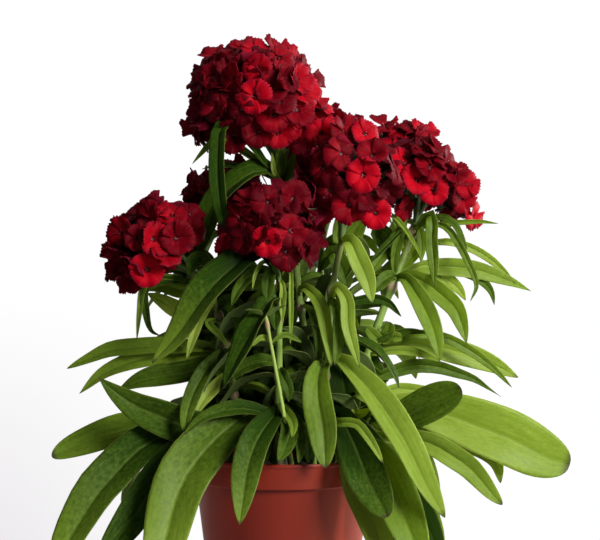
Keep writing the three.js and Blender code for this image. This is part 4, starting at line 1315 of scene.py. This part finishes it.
print("heads so far:", ", ".join(HEADS))

# %% Heads at the back
HEADS |= {
    "back_left": {
        "middle": [-41, 40, 279], "lean": [-0.2, 0.1], "across": 23, "along": 22, "florets": 24, "reach": 110,
        "glow": 0.08,
        "seen": [],
    },
    "back_right": {
        "middle": [28, 56, 309], "lean": [0.1, 0.2], "across": 29, "along": 29, "florets": 30, "reach": 112,
        "glow": 0.3,
        "seen": [],
    },
}
print(len(HEADS), "heads")

# %% Places on a dome
def head_frame(head):
    """The head's middle, its own right, back and up as rows, and its radii along them."""
    up = unit([*head["lean"], 1.0])
    right = unit(np.cross([0.0, 1.0, 0.0], up))
    radii = np.array([head["across"], head["across"], head["along"]], float)
    return np.array(head["middle"], float), np.array([right, np.cross(up, right), up]), radii


def seen_place(frame_rows, radii, right, up):
    """The point on the front of the dome that is seen that far right and up of its middle."""
    a = frame_rows @ np.array([right, 0.0, up]) / radii
    b = frame_rows @ np.array([0.0, 1.0, 0.0]) / radii
    square, twice, rest = b @ b, a @ b, a @ a - 1
    inside = max(0.0, twice * twice - square * rest)
    return np.array([right, (-twice - math.sqrt(inside)) / square, up])


def past_flat(head, places, inset=0.0):
    """How far places lie beyond the head's flat side, and which way that side faces."""
    rightward, upward, most = head.get("trim", NOT_FLAT)
    flat = np.array([rightward, 0.0, upward])
    return np.maximum(0.0, places @ flat - most + inset), flat


NOT_FLAT = (0, 0, 1000)
middle, rows, radii = head_frame(HEADS["top"])
print("the front of the top head is at", (middle + seen_place(rows, radii, 0, 0)).round(1), "mm")

# %% Placing the florets
FLORET_RADIUS = 9.7
CROWD = 1.45
APART = 1.2
SEEN_INSET, FLAT_INSET = 0.8, 3


def place_florets(head, random):
    """(centre, facing, tone, looseness) of each floret: those listed, then an even spread."""
    middle, rows, radii = head_frame(head)
    placed = []
    for right, up, face_right, face_up, tone in head["seen"]:
        centre = seen_place(rows, radii - SEEN_INSET, right, up)
        toward = math.sqrt(max(0.02, 1 - face_right**2 - face_up**2))
        placed.append((centre, unit([face_right, -toward, face_up]), tone, 0.9 - 0.8 * tone))
    golden = math.pi * (3 - math.sqrt(5))
    lowest = math.cos(math.radians(head["reach"]))
    count = round(CROWD * head["florets"])
    apart = 0.60 * math.sqrt(2 * math.pi * head["across"] * head["along"] * (1 - lowest) / count)
    for i in range(count):
        height = lerp(1, lowest, (i + 0.4) / count)
        out = math.sqrt(1 - height * height)
        ball = np.array([out * math.cos(i * golden), out * math.sin(i * golden), height])
        centre = rows.T @ (ball * (radii - random.uniform(1.0, 8.0))) + random.normal(0, 1.0, 3)
        facing = unit(unit(rows.T @ (ball / radii)) + random.normal(0, 0.42, 3))
        past, flat = past_flat(head, centre)
        if past > 0:
            centre = centre - flat * (past + FLAT_INSET)
            facing = unit(flat + random.normal(0, 0.3, 3))
        near = placed if past > 0 else placed[: len(head["seen"])]
        if all(np.linalg.norm(centre - other) > APART * apart for other, *_ in near):
            placed.append((centre, facing, random.uniform(0.0, head["glow"]), 1.0))
    return middle, [(middle + centre, *rest) for centre, *rest in placed]


HEAD_SEED = 500
print("the top head has", len(place_florets(HEADS["top"], np.random.default_rng(HEAD_SEED))[1]), "florets")

# %% [markdown]
# ## Florets
#
# A floret has five wedge-shaped petals that spread flat from a narrow throat, each one overlapping the next,
# with a toothed outer edge. A petal is a small grid: its teeth come from drawing every second point of its
# edge outward, and a slight tilt lays one side of each petal over its neighbour. One floret could be copied
# to all places, but then its chance folds would show again and again, so each one is drawn with its own.

# %% Florets
PETAL_ACROSS = np.linspace(-1, 1, 15)
PETAL_OUT = np.array([0.0, 0.12, 0.64, 1.0])
PETAL_HALF = 0.70
PETAL_THICK = 0.26
TOOTH = 0.075
THREAD_RADII = [0.22, 0.16, 0.16, 0.26]


def floret_frame(facing, spin):
    """Two directions across a floret that faces that way, turned by spin."""
    side = unit(np.cross([0.0, 0.0, 1.0] if abs(facing[2]) < 0.9 else [1.0, 0.0, 0.0], facing))
    front = np.cross(facing, side)
    return side * math.cos(spin) + front * math.sin(spin), front * math.cos(spin) - side * math.sin(spin)


def add_floret(piece, centre, facing, spin, radius, tone, loose, random):
    """Five petals. In a loose floret each one tilts and twists its own way."""
    cup = random.choice([-0.12, 0.05, 0.18, 0.42], p=[0.2, 0.35, 0.3, 0.15]) * (0.4 + loose)
    u, v = PETAL_ACROSS, PETAL_OUT[:, None]
    for petal in range(5):
        ahead, aside = floret_frame(facing, spin + petal / 5 * 2 * math.pi + random.normal(0, 0.04))
        y = u * radius * PETAL_HALF * (0.10 + 0.90 * v**0.8)
        reach = radius * random.uniform(0.93, 1.05)
        edge = reach * np.sqrt(1 - (PETAL_HALF * u) ** 2)
        every_second = np.where(np.arange(len(u)) % 2, 1, -0.4)
        teeth = every_second * TOOTH * radius * random.uniform(0.3, 1.4, len(u))
        x = v * edge + 0.5 + (v**8) * teeth
        z = radius * (cup + random.normal(0, 0.08 + 0.20 * loose)) * v**2
        z = z + y * (0.07 + random.normal(0, 0.20) * loose)
        z = z + radius * 0.07 * np.sin(1.5 * math.pi * u + random.uniform(0, FULL_TURN)) * v**2.5
        z = z - radius * 0.02 * np.exp(-((u / 0.3) ** 2)) * v - 3.2 * (v < 0.05) - 0.5 * (v < 0.12)
        middle = centre + x[..., None] * ahead + y[..., None] * aside + z[..., None] * facing
        lift = facing * PETAL_THICK / 2
        rings = np.concatenate([middle + lift, (middle - lift)[:, ::-1]], 1)
        under = np.concatenate([u * 0, u * 0 + 1])
        shade = tone + random.normal(0, 0.03 + 0.07 * loose)
        piece.add(rings, 0, across=np.concatenate([u, u[::-1]]), along=v, tone=shade, under=under)


def add_threads(piece, centre, facing, spin, random):
    """The curled threads that stand in the throat."""
    for k in range(random.integers(0, 3)):
        ahead, _ = floret_frame(facing, spin + k * 2.1 + random.uniform(-0.4, 0.4))
        t = np.linspace(0, 1, 4)[:, None]
        tall, out = random.uniform(1.2, 2.6), random.uniform(0.6, 2.0)
        line = centre + facing * (tall * t - 1.0) + ahead * (out * t**2)
        piece.add(tube(line, THREAD_RADII, 4), 1, along=t)


print("a floret is", 2 * FLORET_RADIUS, "mm across and has", 5 * (len(PETAL_ACROSS) // 2), "teeth")

# %% [markdown]
# ## Under the florets
#
# Each floret sits on a long narrow calyx, a ribbed green tube, on a thin stalk that comes from the top of the
# stem, with a few slender bracts beside it. They crowd the inside of the head, where it is dark, and show
# from the side and from below. Small pointed buds stand between the open florets, and a bumpy cushion of
# young buds closes the middle, so that no light shows through.

# %% Calyxes and stalks
CALYX_LENGTH = 12.5
CALYX_RADII = [1.8, 2.2, 2.1, 1.8, 1.3, 0.9, 0.75, 0.8]
BRANCHES = 6
BRANCH_FOOT_RADIUS, BRANCH_END_RADIUS = 1.7, 1.2


def bow(start, bend, end, t):
    """A line from start to end that is drawn towards bend."""
    return (1 - t) ** 2 * start + 2 * (1 - t) * t * bend + t**2 * end


def add_branches(piece, foot, middle, rows, radii):
    """The few thick stalks that fan out from the top of the stem. Returns their upper ends."""
    ends = [middle]
    for k in range(BRANCHES):
        turn = (k + 0.3) / BRANCHES * 2 * math.pi
        ends.append(middle + (np.array([math.cos(turn), math.sin(turn), -0.25]) * radii * 0.5) @ rows)
    t = np.linspace(0, 1, 9)[:, None]
    thick = lerp(BRANCH_FOOT_RADIUS, BRANCH_END_RADIUS, t[:, 0])
    start = foot - rows[2] * 3
    for end in ends:
        bend = start + rows[2] * 0.55 * np.linalg.norm(end - start)
        rings = tube(bow(start, bend, end, t), thick, 8)
        piece.add(rings, 0, along=0.2 * t, across=np.linspace(-1, 1, 8), tone=0.9)
    return ends


def add_calyx(piece, centre, facing, ends, tone):
    """A calyx under the floret, and its stalk in to the nearest branch."""
    end = min(ends, key=lambda place: np.linalg.norm(place - centre))
    t = np.linspace(0, 1, len(CALYX_RADII))[:, None]
    line = bow(centre - facing * 1.2, centre - facing * (CALYX_LENGTH + 5), end, t)
    piece.add(tube(line, CALYX_RADII, 6), 0, along=1 - t * 1.4, across=np.linspace(-1, 1, 6), tone=tone)


print("a calyx is", CALYX_LENGTH, "mm long and", 2 * max(CALYX_RADII), "mm thick")

# %% Bracts and buds
BUD_RADII = [1.2, 1.7, 2.0, 2.1, 2.1, 1.8, 1.1, 0.25]
BUD_INSET, BUD_FLAT_INSET = 9, 6.0


def add_bracts(piece, centre, facing, spin, tone, random):
    """Three slender pointed leaves beside a calyx."""
    for k in range(3):
        ahead, aside = floret_frame(facing, spin + k * 2.1 + random.uniform(-0.5, 0.5))
        t = np.linspace(0, 1, 6)[:, None]
        long, out = random.uniform(9, 14), random.uniform(2.5, 6.5)
        line = centre + facing * (-CALYX_LENGTH + long * t) + ahead * (1.4 + out * t**2)
        half = 1.0 * (1 - t) ** 0.7 + 0.1
        flat = np.stack([aside, facing * 0.0 + ahead * 0.3, -aside, -ahead * 0.3])
        rings = line[:, None] + half[:, None] * flat
        piece.add(rings, 0, along=0.2 + 0.4 * t, across=np.array([-0.5, 0, 0.5, 0]), tone=tone)


def add_bud(piece, centre, facing, tone):
    """A small pointed bud, round below and sharp above."""
    line = centre + facing * np.linspace(-7, 5, 8)[:, None]
    along = np.linspace(0.3, 1.3, 8)[:, None]
    piece.add(tube(line, BUD_RADII, 8), 0, along=along, across=np.linspace(-1, 1, 8), tone=tone)


print("a bud is", 2 * max(BUD_RADII), "mm thick")

# %% Cushion of young buds
CUSHION_INSET, CUSHION_FLAT_INSET = 14.0, 12.0
CUSHION_ROWS, CUSHION_SIDES = 26, 40


def add_cushion(piece, head):
    """The crowded young buds inside the head, as one bumpy closed form."""
    middle, rows, radii = head_frame(head)
    polar = np.linspace(0.06, 2.35, CUSHION_ROWS)[:, None]
    turn = np.arange(CUSHION_SIDES) / CUSHION_SIDES * 2 * math.pi
    out = np.sin(polar)
    ball = np.stack([out * np.cos(turn), out * np.sin(turn), np.cos(polar) + 0 * turn], -1)
    bumps = 1.2 * np.sin(13 * turn + 3 * polar) * np.sin(15 * polar) + 0.6 * np.sin(29 * turn - 11 * polar)
    rings = (ball * (radii - CUSHION_INSET + bumps[..., None] * out[..., None])) @ rows
    past, flat = past_flat(head, rings, CUSHION_FLAT_INSET)
    rings = middle + rings - past[..., None] * flat
    # Tone 0 paints the cushion near-black: painted shade inside the head.
    piece.add(rings, 0, along=0.55 + 0.15 * bumps, across=np.sin(9 * turn), tone=0.0)


print("the cushion lies", CUSHION_INSET, "mm inside the dome")

# %% [markdown]
# ## Making the heads
#
# Each head becomes two pieces, one red and one green, which both stand for the same plain solid. The branches
# come first, because every floret's stalk runs in to the branch that ends nearest to it.

# %% Heads
for number, (key, head) in enumerate(HEADS.items()):
    random = np.random.default_rng(HEAD_SEED + number)
    route = SHOOTS["flowering_stem_" + key][0]
    foot = np.array(route[-1], float)
    middle, placed = place_florets(head, random)
    _, rows, radii = head_frame(head)
    florets, green = Piece(key + "_florets"), Piece(key + "_calyxes")
    ends = add_branches(green, foot, middle, rows, radii)
    for centre, facing, tone, loose in placed:
        spin, radius = random.uniform(0, FULL_TURN), FLORET_RADIUS * random.uniform(0.9, 1.08)
        add_floret(florets, centre, facing, spin, radius, tone, loose, random)
        add_threads(florets, centre, facing, spin, random)
        add_calyx(green, centre, facing, ends, random.uniform(0.1, 0.8))
        add_bracts(green, centre, facing, spin, random.uniform(0.0, 0.3), random)
    for _ in range(len(placed) // 4):
        ball = unit(random.normal(0, 1, 3) + [0, 0, 0.9])
        facing = unit(rows.T @ (ball / radii))
        place = rows.T @ (ball * (radii - BUD_INSET))
        if past_flat(head, place, BUD_FLAT_INSET)[0] == 0:
            add_bud(green, middle + place, facing, random.uniform(0.0, 0.35))
    add_cushion(green, head)
    florets.make([PETAL, THREAD], "petal", "bloom_head_" + key)
    green.make([CALYX], "leaf", "bloom_head_" + key)

# %% [markdown]
# ## Pot
#
# A thin moulded nursery pot: a tapered wall, a collar that stands out, a rounded lip and drain holes in the
# base. Blender's Bevel would round the edges of a plain turned form, but all of them alike. Here the outline
# is drawn once, with a rounding for each corner, and swept round, because it is the rounded edges that catch
# the light. The drain holes are cut with a boolean.

# %% Pot shape
POT_HEIGHT, POT_RIM, POT_BASE, POT_WALL, POT_FLOOR = 115, 60, 43, 1.6, 2.4
COLLAR, COLLAR_STEP, LIP = 15.5, 2.2, 2.6
POT_SIDES = 160
NEAR_AXIS, FLOOR_RING = 0.02, 30


def wall(z):
    """The outer radius of the pot's wall at a height."""
    return lerp(POT_BASE, POT_RIM - COLLAR_STEP, z / POT_HEIGHT)


def rounded(corners, steps=5):
    """The outline with each (radius, height, rounding) corner turned into a small arc."""
    line = []
    for i, (r, z, soft) in enumerate(corners):
        here = np.array([r, z], float)
        if not soft or i in (0, len(corners) - 1):
            line.append(here)
            continue
        before, after = (np.array(corners[k][:2], float) for k in (i - 1, i + 1))
        near = [here + unit(p - here) * min(soft, np.linalg.norm(p - here) * 0.45) for p in (before, after)]
        for t in np.linspace(0, 1, steps):
            line.append((1 - t) ** 2 * near[0] + 2 * (1 - t) * t * here + t * t * near[1])
    return np.array(line)


collar_foot = POT_HEIGHT - COLLAR
inner = wall(collar_foot) - POT_WALL
outline = rounded(
    [
        (NEAR_AXIS, 0, 0),
        (FLOOR_RING, 0, 0),
        (POT_BASE, 0, 1.8),
        (wall(40), 40, 0),
        (wall(collar_foot - 0.6), collar_foot - 0.6, 0.8),
        (POT_RIM - 0.6, collar_foot, 0.9),
        (POT_RIM - 0.6, POT_HEIGHT - LIP, 0.5),
        (POT_RIM, POT_HEIGHT - LIP + 0.5, 0.5),
        (POT_RIM - 0.1, POT_HEIGHT, 0.9),
        (POT_RIM - 1.9, POT_HEIGHT, 0.7),
        (inner + COLLAR_STEP / 2, collar_foot + 1.5, 1.0),
        (inner, collar_foot, 1.0),
        (wall(POT_FLOOR) - POT_WALL, POT_FLOOR, 2.0),
        (FLOOR_RING, POT_FLOOR, 0),
        (NEAR_AXIS, POT_FLOOR, 0),
    ]
)
turns = np.arange(POT_SIDES) / POT_SIDES * 2 * math.pi
out, up = outline[:, :1], outline[:, 1:]
rings = np.stack([out * np.cos(turns), out * np.sin(turns), up + 0 * turns], -1)
pot = Piece("moulded_pot")
pot.add(rings, 0)
print("the pot's outline has", len(outline), "points")

# %% Pot finish
POT_RED_DARK, POT_RED = (0.125, 0.010, 0.004), (0.16, 0.014, 0.006)
# Painted light: the pot's right side is painted lighter where the lamp falls, its left side lighter with light
# reflected from the backdrop.
POT_PAINTED_LIGHT_RIGHT, POT_PAINTED_LIGHT_LEFT = (0.32, 0.042, 0.018), (0.35, 0.032, 0.015)
# A painted reflection of the white backdrop, paler than the sides, lies along the pot's left edge.
POT_PAINTED_REFLECTION, POT_SCUFF = (0.46, 0.130, 0.095), (0.33, 0.070, 0.042)


def pot_finish():
    """Red-brown plastic: a soft gloss, faint upright flow marks, fine scuffs, painted light on its sides and a
    painted reflection at its left edge.
    """
    material, tree = new_material("pot plastic")
    place = wire(tree, "TexCoord").outputs["Object"]
    upright = wire(tree, "Mapping", {"Vector": place, "Scale": (1.0, 1.0, 0.06)}).outputs[0]
    flow = wire(tree, "TexNoise", {"Vector": upright, "Scale": 90.0, "Detail": 3.0}).outputs["Fac"]
    fine = wire(tree, "TexNoise", {"Vector": place, "Scale": 1400.0, "Detail": 2.0}).outputs["Fac"]
    scuff = wire(tree, "TexNoise", {"Vector": place, "Scale": 35.0, "Detail": 6.0, "Roughness": 0.7})
    red = tint(tree, flow, POT_RED_DARK, POT_RED)
    aside = wire(tree, "SeparateXYZ", {0: place}).outputs[0]
    # Painted light by place across the pot: lighter on the right, and lighter on the left with reflected
    # light.
    red = tint(tree, ease(tree, aside, 0.008, 0.042), red, POT_PAINTED_LIGHT_RIGHT)
    red = tint(tree, ease(tree, aside, -0.022, -0.045), red, POT_PAINTED_LIGHT_LEFT)
    # Painted reflection along the left edge.
    red = tint(tree, ease(tree, aside, -0.044, -0.053), red, POT_PAINTED_REFLECTION)
    red = tint(tree, ease(tree, scuff.outputs["Fac"], 0.62, 0.85), red, POT_SCUFF)
    height = calc(tree, "MULTIPLY_ADD", fine, 0.25, flow)
    bump = wire(tree, "Bump", {"Height": height, "Strength": 0.22, "Distance": 0.0004}).outputs[0]
    rough = calc(tree, "MULTIPLY_ADD", scuff.outputs["Fac"], 0.22, 0.27)
    gloss = wire(tree, "BsdfPrincipled", {"Base Color": red, "Roughness": rough, "Normal": bump})
    gloss.inputs["Specular IOR Level"].default_value = 0.22
    wire(tree, "OutputMaterial", {"Surface": gloss.outputs[0]})
    return material


POT_PAINT = pot_finish()
print("the pot's finish has", len(POT_PAINT.node_tree.nodes), "nodes")

# %% Drain holes
DRAIN_HOLES, DRAIN_RADIUS, DRAIN_CIRCLE = 6, 4, 27

pot_object = pot.make([POT_PAINT], "pot", "pot")
pegs = Piece("drain pegs")
for hole in range(DRAIN_HOLES):
    turn = hole / DRAIN_HOLES * 2 * math.pi
    x, y = DRAIN_CIRCLE * math.cos(turn), DRAIN_CIRCLE * math.sin(turn)
    pegs.add(tube(np.array([[x, y, -2.0], [x, y, 1.0], [x, y, 6.0]]), DRAIN_RADIUS, 32))
peg_mesh = bpy.data.meshes.new("drain pegs")
peg_mesh.from_pydata((np.concatenate(pegs.points) * MM).tolist(), [], np.concatenate(pegs.faces).tolist())
peg_object = bpy.data.objects.new("drain pegs", peg_mesh)
bpy.context.scene.collection.objects.link(peg_object)
cut = pot_object.modifiers.new("drain", "BOOLEAN")
cut.operation = "DIFFERENCE"
cut.object = peg_object
bpy.context.view_layer.update()
holed = bpy.data.meshes.new_from_object(pot_object.evaluated_get(bpy.context.evaluated_depsgraph_get()))
pot_object.modifiers.clear()
pot_object.data = holed
bpy.data.objects.remove(peg_object)
print("the pot has", len(holed.polygons), "faces")

# %% [markdown]
# ## Soil
#
# Dark potting soil fills the pot to a little below the rim. Its top is lumpy, with crumbs lying on it. Most
# of it is hidden under the leaves, but it shows from above.

# %% Soil
SOIL_GAP = 0.4
SOIL_SHOULDER = 98
SOIL_RINGS = 46
SOIL_TURNS = 96


def lumps(x, y):
    """The height of the soil's lumpy top."""
    low = 1.4 * np.sin(0.31 * x + 1) * np.cos(0.27 * y - 0.6)
    mid = 0.55 * np.sin(0.9 * x + 2.1) * np.sin(1.1 * y + 0.7) + 0.35 * np.sin(1.7 * x - 1.3 * y)
    return low + mid + 0.22 * np.sin(3.1 * x + 2.3 * y) * np.sin(2.7 * y - 2.9 * x)


def soil_finish():
    """Near-black crumbs with a few pale ones."""
    material, tree = new_material("soil")
    place = wire(tree, "TexCoord").outputs["Object"]
    crumb = wire(tree, "TexNoise", {"Vector": place, "Scale": 420.0, "Detail": 6.0, "Roughness": 0.7})
    grain = wire(tree, "TexVoronoi", {"Vector": place, "Scale": 700.0}).outputs["Distance"]
    dark = tint(tree, crumb.outputs["Fac"], (0.010, 0.007, 0.005), (0.075, 0.048, 0.032))
    dark = tint(tree, ease(tree, crumb.outputs["Fac"], 0.66, 0.76), dark, (0.16, 0.11, 0.07))
    height = calc(tree, "MULTIPLY_ADD", grain, 0.6, crumb.outputs["Fac"])
    bump = wire(tree, "Bump", {"Height": height, "Strength": 0.9, "Distance": 0.0012}).outputs[0]
    rough = wire(tree, "BsdfPrincipled", {"Base Color": dark, "Roughness": 0.9, "Normal": bump})
    wire(tree, "OutputMaterial", {"Surface": rough.outputs[0]})
    return material


SOIL = soil_finish()
print("the soil's lumps rise up to", round(float(lumps(*np.mgrid[-50:50, -50:50]).max()), 1), "mm")

# %% Soil body
fill_radius = wall(SOIL_SHOULDER) - POT_WALL - SOIL_GAP
reach = np.concatenate([np.linspace(NEAR_AXIS, fill_radius - 0.6, SOIL_RINGS), [fill_radius] * 2])
level = np.full(SOIL_RINGS + 2, float(SOIL_TOP))
level[-3:] = [SOIL_TOP - 1.4, SOIL_TOP - 2.6, SOIL_SHOULDER]
foot_level = POT_FLOOR + SOIL_GAP
reach = np.concatenate([reach, [wall(foot_level) - POT_WALL - SOIL_GAP, NEAR_AXIS]])
level = np.concatenate([level, [foot_level, foot_level]])
turns = np.arange(SOIL_TURNS) / SOIL_TURNS * 2 * math.pi
x, y = reach[:, None] * np.cos(turns), reach[:, None] * np.sin(turns)
top_row = (np.arange(len(level)) < SOIL_RINGS)[:, None]
z = level[:, None] + lumps(x, y) * top_row
soil = Piece("potting_soil")
soil.add(np.stack([x, y, z], -1))
print("the soil is", round(2 * fill_radius), "mm across at the top")

# %% Crumbs on the soil
CRUMBS = 420
SOIL_SEED = 77

random = np.random.default_rng(SOIL_SEED)
for _ in range(CRUMBS):
    far, turn = fill_radius * math.sqrt(random.uniform(0, 0.93)), random.uniform(0, FULL_TURN)
    x, y, size = far * math.cos(turn), far * math.sin(turn), random.uniform(0.6, 1.9)
    lie = unit(random.normal(0, 1, 3)) * size
    line = np.array([x, y, SOIL_TOP + lumps(x, y)]) + lie * np.linspace(-1, 1, 4)[:, None]
    soil.add(tube(line, np.array([0.35, 0.95, 0.85, 0.3]) * size, 6, random.uniform(0, 6)))
soil.make([SOIL], "soil", "soil")
